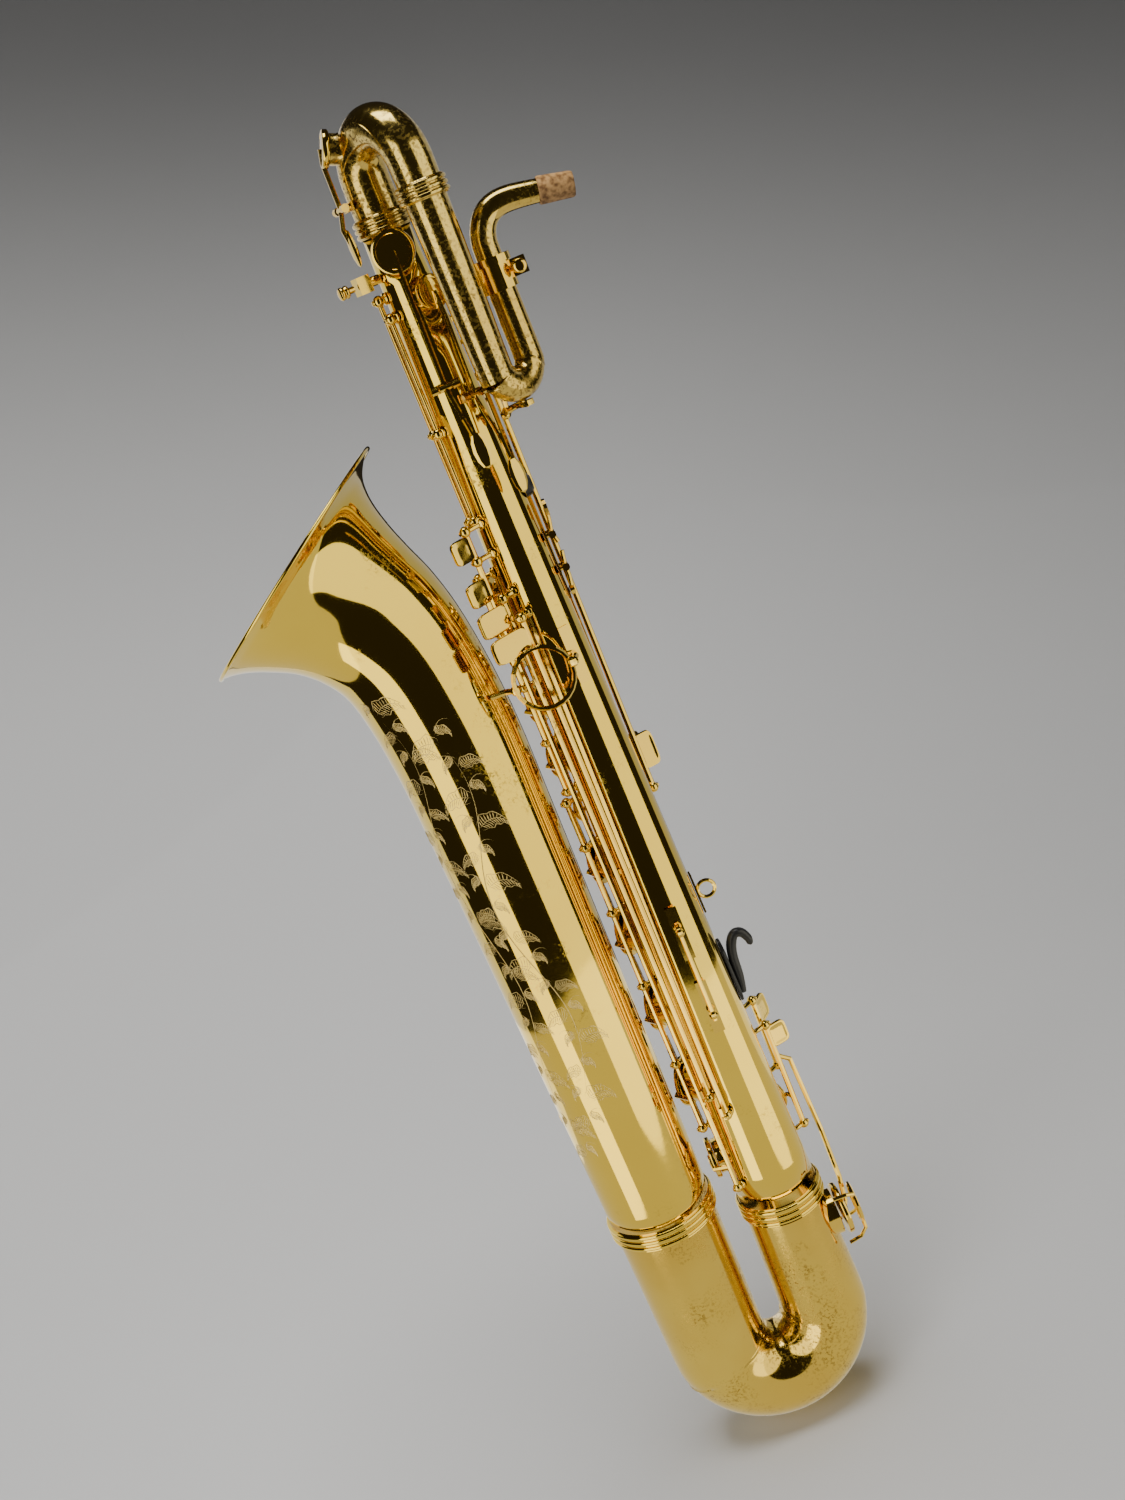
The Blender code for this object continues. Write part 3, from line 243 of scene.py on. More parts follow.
for i, (z, d, r) in enumerate(BODY_HOLES):
    far = body_r(z) + 5.0
    dip = far - math.sqrt(body_r(z) ** 2 - (r + 1.5) ** 2)
    bm = bmesh.new()
    turned(bm, (d.x * far, d.y * far, z), d, [(r - 1.5, 0.0), (r - 0.9, 0.1), (r - 0.2, 0.0), (r, -0.4),
           (r, -3.2), (r + 0.5, -5.0), (r + 1.2, -dip - 0.4), (r - 1.5, -dip - 0.6)], 48)
    finished("tone_hole_%02d" % i, bm, "body", (), 0.0, KEYS)

# ---- Bow ----
# The wide U at the bottom, drawn from brass tube and held by the two lower ferrules. Its lacquer
# is speckled where it is handled. The low C chimney stands on its outer side.
BOWED = brass("bow_lacquer", (0.84, 0.61, 0.11), 0.09, 0.15, 0.8, 0.12)
BOW = [(0.0, 0.0, 195.4), (0.0, 0.0, 145.0)]
for step in range(0, 7):
    a = math.pi / 2.0 * step / 6.0
    BOW.append((-48.5 * (1.0 - math.cos(a)), 0.0, 40.2 + 54.0 * (1.0 - math.sin(a))))
for step in range(1, 7):
    a = math.pi / 2.0 * step / 6.0
    BOW.append((-48.5 - 47.0 * math.sin(a), 0.0, 40.2 + 47.0 * (1.0 - math.cos(a))))
BOW += [(-95.5, 0.0, 150.0), (-95.5, 0.0, 224.0)]
bm = bmesh.new()
pipe(bm, BOW, [33.4, 34.6] + [36.0 + 5.2 * i / 12.0 for i in range(13)] + [41.9, 42.8], 96, 6)
bow = finished("bow_skin", bm, "body", ("bow",), 0.0012, BOWED)
bm = bmesh.new()
turned(bm, (38.5, 0, 160), (1, 0, 0), [(17.4, 0.0), (18.2, 0.1), (19.0, -0.3), (19.0, -6.0), (20.2, -12.0),
                                      (17.4, -12.0)], 56)
finished("low_c_hole", bm, "body", (), 0.0, KEYS)

# ---- Bell ----
# Spun brass, widening to a flare that leans forward, with its edge rolled over a wire. Three
# chimneys for the lowest notes are soldered on its far side.
TURN = Matrix.Rotation(math.radians(-7.0), 3, "Z")


def bell_point(section, a, extra=0.0):
    """A point of the bell's skin, in millimetres."""
    x, z, r, lean = section
    spin = TURN @ Matrix.Rotation(math.radians(-lean), 3, "Y")
    c = TURN @ Vector((x + 95.5, 0.0, 0.0))
    p = spin @ Vector(((r + extra) * math.cos(a), (r + extra) * math.sin(a), 0.0))
    return (c.x - 95.5 + p.x, c.y + p.y, z + p.z)


SECTIONS = [(-95.5, 225.2, 43.0, 0), (-95.5, 400, 46.0, 0), (-96.3, 588, 49.0, 0), (-97.0, 655, 50.5, 5.7),
            (-100.5, 702, 52.0, 13.9), (-107.0, 739.5, 53.9, 19.0), (-117.0, 764, 57.8, 23.6),
            (-129.0, 782, 62.6, 26.6), (-141.5, 796.5, 70.0, 28.6), (-150.8, 809, 77.8, 31.6),
            (-155.5, 818, 86.0, 33.8), (-155.5, 824.3, 94.3, 34.7), (-153.9, 827.8, 99.5, 34.8)]


def section_at(t):
    """Smooth bell section at t along the list."""
    i = min(int(t), len(SECTIONS) - 2)
    u = t - i
    out = []
    for k in range(4):
        p = [SECTIONS[max(0, min(len(SECTIONS) - 1, i + j))] for j in (-1, 0, 1, 2)]
        span = [SECTIONS[max(0, min(len(SECTIONS) - 1, i + j))][1] for j in (-1, 0, 1, 2)]
        h = max(span[2] - span[1], 1e-6)
        m0 = (p[2][k] - p[0][k]) / max(span[2] - span[0], 1e-6) * h
        m1 = (p[3][k] - p[1][k]) / max(span[3] - span[1], 1e-6) * h
        out.append((2 * u ** 3 - 3 * u ** 2 + 1) * p[1][k] + (u ** 3 - 2 * u ** 2 + u) * m0
                   + (-2 * u ** 3 + 3 * u ** 2) * p[2][k] + (u ** 3 - u ** 2) * m1)
    return out


bm = bmesh.new()
loops = []
for i in range(0, 12 * 8 + 1):
    section = section_at(i / 8.0)
    loops.append([bm.verts.new(at(*bell_point(section, 2.0 * math.pi * k / 128))) for k in range(128)])
skinned(bm, loops)
bell = finished("bell_skin", bm, "body", ("bell",), 0.0011, GOLD)
FACE = Vector((-0.5, 0.866, 0.0))
drilled(bell, "bell_holes", [((-95.5, 0, z), FACE, 20.0, 43.0 + 0.0168 * (z - 225) + 4.0, 19.4)
                             for z in (500, 408, 315)])
for i, z in enumerate((500, 408, 315)):
    far = 43.0 + 0.0168 * (z - 225) + 5.0
    bm = bmesh.new()
    turned(bm, (-95.5 + FACE.x * far, FACE.y * far, z), FACE,
           [(19.5, 0.0), (20.2, 0.1), (21.0, -0.4), (21.0, -6.0), (22.5, -10.8), (19.5, -10.8)], 56)
    finished("bell_hole_%d" % i, bm, "body", (), 0.0, KEYS)
bm = bmesh.new()
ring = []
for k in range(128):
    a = 2.0 * math.pi * k / 128
    mid = Vector(bell_point((-153.9, 827.6, 99.6, 34.8), a))
    out = (mid - Vector(bell_point((-153.9, 827.6, 0.0, 34.8), a))).normalized()
    up = (TURN @ Matrix.Rotation(math.radians(-34.8), 3, "Y")) @ Vector((0, 0, 1))
    ring.append([bm.verts.new(at(*(mid + (out * math.cos(2 * math.pi * j / 12)
                                          + up * math.sin(2 * math.pi * j / 12)) * 1.5))) for j in range(12)])
for k in range(128):
    one, two = ring[k], ring[(k + 1) % 128]
    for j in range(12):
        bm.faces.new((one[j], two[j], two[(j + 1) % 12], one[(j + 1) % 12]))
finished("bell_rim", bm, "body", (), 0.0, GOLD)


# ---- Ferrules ----
# Turned brass bands, each with three beads. They are slipped over the joints between the tubes
# and soldered, two at the bow and two at the upper bow.
WORN = brass("worn_lacquer", (0.76, 0.57, 0.15), 0.14, 0.5, 1.0, 0.16)


def band(name, replaced, base, r_low, r_high, height, mat):
    h = height / 2.0
    profile = [(r_low + 0.3, -h), (r_low + 1.2, -h), (r_low + 1.7, -h + 0.6)]
    for i in range(-1, 2):
        mid = i * h * 0.62
        r = (r_low + r_high) / 2.0
        for j in range(0, 9):
            a = math.pi * j / 8.0
            profile.append((r + 1.5 + 1.35 * math.sin(a), mid - 1.7 * math.cos(a)))
    profile += [(r_high + 1.7, h - 0.6), (r_high + 1.2, h), (r_high + 0.3, h)]
    made = bmesh.new()
    turned(made, base, (0, 0, 1), profile, 96)
    return finished(name, made, "body", replaced, 0.0, mat)


band("body_bow_band", ("body_bow_ferrule",), (0, 0, 196.2), 34.0, 33.7, 17.0, GOLD)
band("bell_bow_band", ("bell_bow_ferrule",), (-95.5, 0, 224.6), 43.3, 43.5, 17.0, GOLD)
band("upper_band_body", ("upper_ferrule_body",), (0, 0, 1022.4), 17.85, 17.95, 13.0, WORN)
band("upper_band_return", ("upper_ferrule_return",), (31.5, -50, 1030.3), 15.4, 15.5, 13.0, WORN)

# ---- Upper bow ----
# The tight U at the top, drawn from brass tube, its lacquer worn and speckled. The chimney of the
# front F key stands on its outer side.
SPAN = math.hypot(31.5, 50.0)
EX, EY = 31.5 / SPAN, -50.0 / SPAN
UPPER = [(0.0, 0.0, 1022.7), (0.0, 0.0, 1050.0)]
UPPER_R = [17.6, 17.2]
for step in range(1, 9):
    a = math.pi * step / 8.0
    reach = SPAN / 2.0 * (1.0 - math.cos(a))
    UPPER.append((EX * reach, EY * reach, 1050.0 + SPAN / 2.0 * math.sin(a)))
    UPPER_R.append(17.2 - 0.21 * step)
UPPER.append((31.5, -50.0, 1030.6))
UPPER_R.append(15.2)
bm = bmesh.new()
pipe(bm, UPPER, UPPER_R, 72, 7)
finished("upper_bow_skin", bm, "body", ("upper_bow",), 0.0012, WORN)
F_FROM = Vector(UPPER[3])
F_DIR = Vector((-0.919, -0.136, 0.375)).normalized()
bm = bmesh.new()
turned(bm, F_FROM + F_DIR * 22.0, F_DIR, [(8.9, 0.0), (9.7, 0.1), (10.5, -0.3), (10.5, -5.0), (11.6, -9.0),
                                         (8.9, -9.0)], 48)
finished("high_f_hole", bm, "body", (), 0.0, WORN)

# ---- Return tube and pigtail ----
# The tube that comes down from the upper bow, turns back up in a tight bend and ends in the neck's
# receiver. It is drawn in one narrowing length, and the lacquer is worn like the upper bow's.
RX, RY, UX, UY = 31.5, -50.0, 58.0, -30.0
HALF = math.hypot(UX - RX, UY - RY) / 2.0
PX, PY = (UX - RX) / HALF / 2.0, (UY - RY) / HALF / 2.0
PIG = [(RX, RY, 1030.0), (RX, RY, 975.0), (RX, RY, 906.0)]
PIG_R = [15.0, 14.0, 12.7]
for step in range(1, 9):
    a = math.pi * step / 8.0
    reach = HALF * (1.0 - math.cos(a))
    PIG.append((RX + PX * reach, RY + PY * reach, 906.0 - HALF * math.sin(a)))
    PIG_R.append(12.7 - 0.29 * step)
PIG.append((UX, UY, 957.0))
PIG_R.append(10.2)
bm = bmesh.new()
pipe(bm, PIG, PIG_R, 64, 8)
finished("return_pigtail_skin", bm, "body", ("return_pigtail",), 0.001, WORN)

# ---- Neck and cork ----
# A bent brass tube, its lacquer mostly worn, that turns in the receiver. The cork is a glued and
# sanded sleeve that the mouthpiece is pushed over.
NECK = [(UX, UY, 958.0), (UX, UY, 978), (UX + 0.6, UY, 986), (UX + 3.4, UY, 994), (UX + 8.6, UY, 1000.5),
        (UX + 16, UY, 1004.3), (UX + 26, UY, 1005.2), (UX + 42, UY, 1003.2), (UX + 56, UY, 1000.6),
        (UX + 70, UY, 998.0)]
bm = bmesh.new()
pipe(bm, NECK, [9.6, 9.4, 9.3, 9.2, 9.1, 9.0, 8.8, 8.2, 7.7, 7.3], 48, 6)
finished("neck_skin", bm, "neck", ("neck_tube",), 0.001, WORN)
cork_mat = bpy.data.materials.new("sanded_cork")
cork_mat.use_nodes = True
tree = cork_mat.node_tree
shader = tree.nodes["Principled BSDF"]
shader.inputs["Specular IOR Level"].default_value = 0.25
place = tree.nodes.new("ShaderNodeTexCoord")
grain = tree.nodes.new("ShaderNodeTexVoronoi")
grain.inputs["Scale"].default_value = 620.0
cloud = tree.nodes.new("ShaderNodeTexNoise")
cloud.inputs["Scale"].default_value = 260.0
cloud.inputs["Detail"].default_value = 6.0
ramp = tree.nodes.new("ShaderNodeValToRGB")
ramp.color_ramp.elements[0].position = 0.34
ramp.color_ramp.elements[0].color = (0.13, 0.06, 0.02, 1)
ramp.color_ramp.elements[1].position = 0.62
ramp.color_ramp.elements[1].color = (0.42, 0.24, 0.09, 1)
tree.links.new(place.outputs["Object"], grain.inputs["Vector"])
tree.links.new(place.outputs["Object"], cloud.inputs["Vector"])
tree.links.new(cloud.outputs["Fac"], ramp.inputs["Fac"])
tree.links.new(ramp.outputs["Color"], shader.inputs["Base Color"])
shader.inputs["Roughness"].default_value = 0.8
bump = tree.nodes.new("ShaderNodeBump")
bump.inputs["Strength"].default_value = 0.35
bump.inputs["Distance"].default_value = 0.0004
tree.links.new(grain.outputs["Distance"], bump.inputs["Height"])
tree.links.new(bump.outputs["Normal"], shader.inputs["Normal"])
tip = Vector((UX + 71.4, UY, 997.75))
root = Vector((UX + 46.8, UY, 1002.35))
length = (tip - root).length
bm = bmesh.new()
turned(bm, root, tip - root,
       [(8.5, 0.0), (9.0, 0.1), (9.5, 1.0), (9.3, 8.0), (9.0, 16.0), (8.85, length - 2.4),
        (8.5, length - 0.8), (7.9, length), (7.6, length - 0.2), (7.75, length - 3.0), (8.35, 4.0)], 64)
finished("cork_sleeve", bm, "neck", ("neck_cork",), 0.0, cork_mat)


# ---- Keys and fittings ----
# Cast and turned brass: keys, ribs, guards, rings and screws. Each solid keeps its shape, gets a
# lacquer for its kind, and has its sharp edges eased.
RODS = brass("rod_lacquer", (0.88, 0.60, 0.11), 0.12, 0.1, 0.2, 0.1)
BLACK = bpy.data.materials.new("black_moulded")
BLACK.use_nodes = True
tree = BLACK.node_tree
shader = tree.nodes["Principled BSDF"]
shader.inputs["Base Color"].default_value = (0.012, 0.012, 0.013, 1)
place = tree.nodes.new("ShaderNodeTexCoord")
grain = tree.nodes.new("ShaderNodeTexNoise")
grain.inputs["Scale"].default_value = 900.0
tree.links.new(place.outputs["Object"], grain.inputs["Vector"])
ramp = tree.nodes.new("ShaderNodeValToRGB")
ramp.color_ramp.elements[0].color = (0.28, 0.28, 0.28, 1)
ramp.color_ramp.elements[1].color = (0.42, 0.42, 0.42, 1)
tree.links.new(grain.outputs["Fac"], ramp.inputs["Fac"])
tree.links.new(ramp.outputs["Color"], shader.inputs["Roughness"])
REPLACED = {"body_tube", "bow", "bell", "upper_bow", "return_pigtail", "neck_tube", "neck_cork",
            "thumb_hook", "body_bow_ferrule", "bell_bow_ferrule", "upper_ferrule_body",
            "upper_ferrule_return"}
for name, ob in nodes.items():
    if name in REPLACED:
        continue
    if name in ("thumb_hook", "thumb_rest"):
        mat = BLACK
    elif name.endswith(("rib", "posts", "touch", "screw")):
        mat = RODS
    else:
        mat = KEYS
    ob.data.materials.clear()
    ob.data.materials.append(mat)
    soft = ob.modifiers.new("softened", "BEVEL")
    soft.width = 0.0012 if name == "lyre_holder" else 0.00035
    soft.segments = 2
    soft.limit_method = "ANGLE"
    soft.angle_limit = math.radians(40.0)

# ---- Padded cups ----
# Each cup has a pressed lid with a raised ring and a tan leather pad below. The finger keys
# have a pearl in a small turned cup on the lid. They stand open where the key does.
FELT = bpy.data.materials.new("tan_leather_pad")
FELT.use_nodes = True
tree = FELT.node_tree
shader = tree.nodes["Principled BSDF"]
shader.inputs["Roughness"].default_value = 0.7
place = tree.nodes.new("ShaderNodeTexCoord")
grain = tree.nodes.new("ShaderNodeTexNoise")
grain.inputs["Scale"].default_value = 500.0
ramp = tree.nodes.new("ShaderNodeValToRGB")
ramp.color_ramp.elements[0].color = (0.22, 0.11, 0.05, 1)
ramp.color_ramp.elements[1].color = (0.42, 0.24, 0.12, 1)
tree.links.new(place.outputs["Object"], grain.inputs["Vector"])
tree.links.new(grain.outputs["Fac"], ramp.inputs["Fac"])
tree.links.new(ramp.outputs["Color"], shader.inputs["Base Color"])
PEARL = bpy.data.materials.new("pearl_button")
PEARL.use_nodes = True
tree = PEARL.node_tree
shader = tree.nodes["Principled BSDF"]
shader.inputs["Roughness"].default_value = 0.18
shader.inputs["Coat Weight"].default_value = 0.6
place = tree.nodes.new("ShaderNodeTexCoord")
grain = tree.nodes.new("ShaderNodeTexNoise")
grain.inputs["Scale"].default_value = 160.0
grain.inputs["Distortion"].default_value = 1.5
ramp = tree.nodes.new("ShaderNodeValToRGB")
ramp.color_ramp.elements[0].color = (0.62, 0.55, 0.50, 1)
ramp.color_ramp.elements[1].color = (0.86, 0.84, 0.78, 1)
tree.links.new(place.outputs["Object"], grain.inputs["Vector"])
tree.links.new(grain.outputs["Fac"], ramp.inputs["Fac"])
tree.links.new(ramp.outputs["Color"], shader.inputs["Base Color"])


def lid(name, body, centre, d, r, line=None, open_degrees=0.0, pearl=False):
    """Domed cup lid with its rim bead, standing open with its key where the key does."""
    spin = Matrix.Rotation(math.radians(open_degrees), 3, "Z")

    def moved(p):
        if line is None:
            return Vector(p)
        hub = Vector((line[0], line[1], 0.0))
        return hub + spin @ (Vector(p) - hub)
    base = moved(centre)
    axis = spin @ Vector(d) if line else Vector(d)
    made = bmesh.new()
    turned(made, base, axis, [(r - 0.9, 0.35), (r + 0.1, 0.3), (r + 0.5, 0.9), (r + 0.5, 3.2), (r + 0.2, 4.0),
           (r - 0.8, 4.5), (r - 2.6, 4.55), (r - 3.0, 4.2), (r * 0.6, 4.55), (r * 0.3, 4.75), (0.0, 4.8)],
           64, seam=False)
    finished(name + "_lid", made, body, (), 0.0, KEYS)
    made = bmesh.new()
    turned(made, base, axis, [(0.0, 0.12), (r - 3.0, 0.12), (r - 1.1, 0.2), (r - 0.5, 0.8), (r - 0.6, 1.6),
                              (0.0, 1.6)], 56, seam=False)
    finished(name + "_pad", made, body, (), 0.0, FELT)
    if pearl:
        made = bmesh.new()
        turned(made, base + axis * 4.4, axis, [(6.4, 0.0), (6.5, 2.2), (6.2, 2.6), (5.7, 2.6), (5.5, 2.2),
                                               (0.0, 2.0)], 48, seam=False)
        finished(name + "_button_cup", made, body, (), 0.0, KEYS)
        made = bmesh.new()
        turned(made, base + axis * 4.4, axis, [(5.4, 2.05), (5.3, 2.5), (4.2, 2.95), (2.2, 3.2), (0.0, 3.25)],
               48, seam=False)
        finished(name + "_pearl", made, body, (), 0.0, PEARL)


LOWER_LINE, UPPER_LINE = (-38.0, -9.0), (-34.0, -8.0)
NAMES = ("d_key", "e_key", "f_key", "f_sharp_key", "g_sharp_key", "g_key", "a_key", "bis_key", "b_key")
for i, ((z, d, r), name) in enumerate(zip(STACK, NAMES)):
    far = body_r(z) + 5.35
    line = LOWER_LINE if i < 5 else UPPER_LINE
    lid(name, name, (d.x * far, d.y * far, z), d, r + 2.2, line, 0.0 if i == 4 else 7.0,
        name in ("d_key", "e_key", "f_key", "g_key", "a_key", "b_key"))
for (z, d, r), name in zip(SIDES, ("side_b_flat_key", "side_c_key", "side_high_e_key")):
    far = body_r(z) + 5.35
    lid(name, name, (d.x * far, d.y * far, z), d, r + 2.2)
for (z, d, r), name in zip(PALMS, ("palm_d_key", "palm_e_flat_key")):
    far = body_r(z) + 5.35
    lid(name, name, (d.x * far, d.y * far, z), d, r + 2.2)
for (z, d, r), name in zip(LOWS, ("low_e_flat_key", "low_c_sharp_key")):
    far = body_r(z) + 5.35
    lid(name, name, (d.x * far, d.y * far, z), d, r + 2.2)
for z, name in zip((500, 408, 315), ("low_b_key", "low_b_flat_key", "low_a_key")):
    far = 43.0 + 0.0168 * (z - 225) + 5.35
    lid(name, name, (-95.5 + FACE.x * far, FACE.y * far, z), FACE, 23.2, (-94.0, 60.5), -6.0)
lid("front_f_key", "front_f_key", F_FROM + F_DIR * 22.35, F_DIR, 12.5)
lid("low_c_key", "low_c_key", (38.85, 0, 160), (1, 0, 0), 21.2, (39.0, 28.5), 4.0)

# ---- Leaves ----
# Two thin pointed plates of brass, bent to the tube and soldered along the flanks of the upper
# bow, to stiffen it where it is held.
def leaf(name, spots, normals, widths):
    """Thin pointed plate laid along a curved surface."""
    made = bmesh.new()
    rows = []
    count = len(spots)
    for i, (p, n, w) in enumerate(zip(spots, normals, widths)):
        p, n = Vector(p), Vector(n).normalized()
        along = (Vector(spots[min(i + 1, count - 1)]) - Vector(spots[max(i - 1, 0)])).normalized()
        side = n.cross(along).normalized()
        row = []
        for j in range(9):
            u = -1.0 + j / 4.0
            hang = w * w * u * u / 2.0 / 17.0
            row.append(made.verts.new(at(*(p + side * (w * u) - n * hang))))
        rows.append(row)
    for low, high in zip(rows, rows[1:]):
        for j in range(8):
            made.faces.new((low[j], high[j], high[j + 1], low[j + 1]))
    finished(name, made, "body", (), 0.0009, WORN)


for sign, name in ((1.0, "left"), (-1.0, "right")):
    flank = Vector((EY, -EX, 0.0)) * sign
    spots, normals, widths = [], [], []
    for i in range(25):
        t = 1.4 + 6.4 * i / 24.0
        p = flowing([Vector(q) for q in UPPER], t)
        r = flowing(UPPER_R, t) + 0.7
        spots.append(p + flank * r)
        normals.append(flank)
        widths.append(0.25 + 8.5 * math.sin(math.pi * i / 24.0) ** 1.3)
    leaf("upper_bow_leaf_" + name, spots, normals, widths)

# ---- Finger plates ----
# Cast spatulas for the little fingers and the right palm, with rounded corners and a dished face.
# Each one is brazed to its hinge tube and covers the key's flat plate.
def spatula(body, line, z, direction, length, width, open_degrees=0.0):
    """Rounded, dished plate that stands out from a hinge line."""
    d = Vector((direction[0], direction[1], 0.0)).normalized()
    n = d.cross(Vector((0.0, 0.0, 1.0)))
    spin = Matrix.Rotation(math.radians(open_degrees), 3, "Z")
    hub = Vector((line[0], line[1], z))
    middle = d * (1.0 + length) / 2.0
    half_long, half_wide = (length - 1.0) / 2.0 + 1.4, width / 2.0 + 1.4
    made = bmesh.new()
    loops = []
    for size, lift in ((0.02, 1.3), (0.45, 1.32), (0.78, 1.5), (0.92, 1.85), (0.98, 1.7), (1.0, 1.2),
                       (1.0, -1.0), (0.97, -1.5), (0.88, -1.75), (0.5, -1.6), (0.02, -1.6)):
        loop = []
        for k in range(48):
            a = math.tau * k / 48
            u = math.copysign(abs(math.cos(a)) ** 0.42, math.cos(a)) * half_long * size
            v = math.copysign(abs(math.sin(a)) ** 0.42, math.sin(a)) * half_wide * size
            p = hub + spin @ (middle + d * u + Vector((0.0, 0.0, v)) + n * lift)
            loop.append(made.verts.new(at(*p)))
        loops.append(loop)
    skinned(made, loops, True)
    finished(body + "_plate", made, body, (), 0.0, KEYS)


TABLE_LINES = ((-30.0, -23.0), (-23.5, -28.5), (-16.0, -33.0))
SIDE_LINES = ((17.0, 28.0), (23.5, 23.5), (29.0, 18.0))
LOW_LINES = ((41.0, 19.0), (39.0, 28.5))
for body, line, z, direction, length, width, open_degrees in (
        ("low_c_sharp_key", TABLE_LINES[0], 762.0, (-0.75, -0.66), 19.0, 15.0, 0.0),
        ("g_sharp_touch", TABLE_LINES[0], 794.5, (-0.75, -0.66), 17.0, 15.0, 0.0),
        ("low_b_touch", TABLE_LINES[1], 740.0, (-0.8, -0.6), 27.0, 16.0, 0.0),
        ("low_b_flat_touch", TABLE_LINES[2], 720.0, (-0.85, -0.5), 32.0, 16.0, 0.0),
        ("side_b_flat_key", SIDE_LINES[0], 590.0, (0.3, 0.95), 13.0, 26.0, 0.0),
        ("side_c_key", SIDE_LINES[1], 590.0, (0.7, 0.7), 13.0, 26.0, 0.0),
        ("side_high_e_key", SIDE_LINES[2], 590.0, (0.95, 0.3), 13.0, 26.0, 0.0),
        ("low_e_flat_key", LOW_LINES[0], 321.0, (0.95, 0.3), 15.0, 17.0, 0.0),
        ("low_c_key", LOW_LINES[1], 340.0, (0.6, 0.8), 18.0, 18.0, 4.0)):
    spatula(body, line, z, direction, length, width, open_degrees)

# ---- Posts ----
# Turned brass pillars with a foot and a ball head, soldered along the tubes. Each holds the end
# of a hinge rod, and a small pivot screw shows in its ball.
STEEL = brass("blued_steel", (0.22, 0.23, 0.27), 0.22, 0.0, 0.0, 0.1)


def pillars(name, rows, base_r, centre=(0.0, 0.0)):
    """Ball-headed posts under one or more hinge lines, each with a pivot screw's head."""
    made = bmesh.new()
    for line, heights in rows:
        hub = Vector((centre[0], centre[1], 0.0))
        reach = Vector((line[0], line[1], 0.0)) - hub
        d = reach.normalized()
        for z in heights:
            low = base_r(z) + 0.5
            gap = reach.length - low
            foot = hub + d * low + Vector((0.0, 0.0, z))
            turned(made, foot, d, [(4.4, 0.0), (4.4, 1.3), (3.9, 1.8), (2.6, 2.1), (2.1, 2.8), (2.1, gap)],
                   28, seam=False)
            ball = [(4.2 * math.sin(math.pi * i / 14), -4.2 * math.cos(math.pi * i / 14)) for i in range(15)]
            turned(made, (line[0], line[1], z), (0, 0, 1), ball, 28, seam=False)
            turned(made, Vector((line[0], line[1], z)) + d * 3.4, d,
                   [(1.9, 0.0), (1.9, 1.1), (1.5, 1.5), (0.5, 1.35), (0.4, 0.9)], 20, seam=False)
    finished(name, made, "body", (), 0.0, KEYS)


def bell_wall(z):
    return 43.0 + 0.0168 * (z - 225.0)


pillars("stack_pillars", ((LOWER_LINE, (284, 346, 420, 487, 545, 584)),
                          (UPPER_LINE, (592, 634, 680, 724, 768))), body_r)
pillars("table_pillars", ((TABLE_LINES[0], (230, 783, 806)), (TABLE_LINES[1], (318, 752)),
                          (TABLE_LINES[2], (300, 735))), body_r)
pillars("side_pillars", [(line, (560, top)) for line, top in zip(SIDE_LINES, (853, 900, 945))],
        body_r)
pillars("low_pillars", ((LOW_LINES[0], (236, 333)), (LOW_LINES[1], (290, 353))), body_r)
pillars("bell_pillars", (((-94.0, 60.5), (280, 360, 455, 545)),), bell_wall, (-95.5, 0.0))

# ---- Needle springs ----
# Thin blued steel wires, driven into the posts and hooked on the keys. One lies under each hinge
# tube of the stacks and of the left-hand table.
made = bmesh.new()
for line, heights in ((LOWER_LINE, (284, 346, 420, 487, 545)), (UPPER_LINE, (592, 634, 680, 724)),
                      (TABLE_LINES[0], (230,)), (TABLE_LINES[1], (318,)), (TABLE_LINES[2], (300,))):
    d = Vector((line[0], line[1], 0.0)).normalized()
    for z in heights:
        p = Vector((line[0], line[1], z)) - d * 2.9
        q = p + Vector((0.0, 0.0, 26.0)) + d * 0.3
        pipe(made, [tuple(p), tuple(p.lerp(q, 0.5)), tuple(q)], [0.42, 0.4, 0.22], 8, 3, closed_ends=True)
finished("needle_springs", made, "body", (), 0.0, STEEL)

# ---- Register rods ----
# Two lacquered hinge rods up the left of the body, from the upper stack to the top keys. Each is
# in two lengths, which meet at a post.
made = bmesh.new()
for x, y, low, high in ((-23.6, -6.0, 812.0, 972.0), (-20.6, -12.8, 812.0, 958.0)):
    for start, end in ((low, low + 62.0), (low + 66.0, high)):
        long = end - start
        turned(made, (x, y, start), (0, 0, 1), [(0.4, 0.0), (1.7, 0.0), (1.95, 0.5), (1.95, long - 0.5),
                                               (1.7, long), (0.4, long)], 24, seam=False)
finished("register_rods", made, "body", (), 0.0, RODS)
pillars("register_pillars", (((-23.6, -6.0), (809.0, 876.0, 975.0)), ((-20.6, -12.8), (809.0, 876.0, 961.0))),
        body_r)

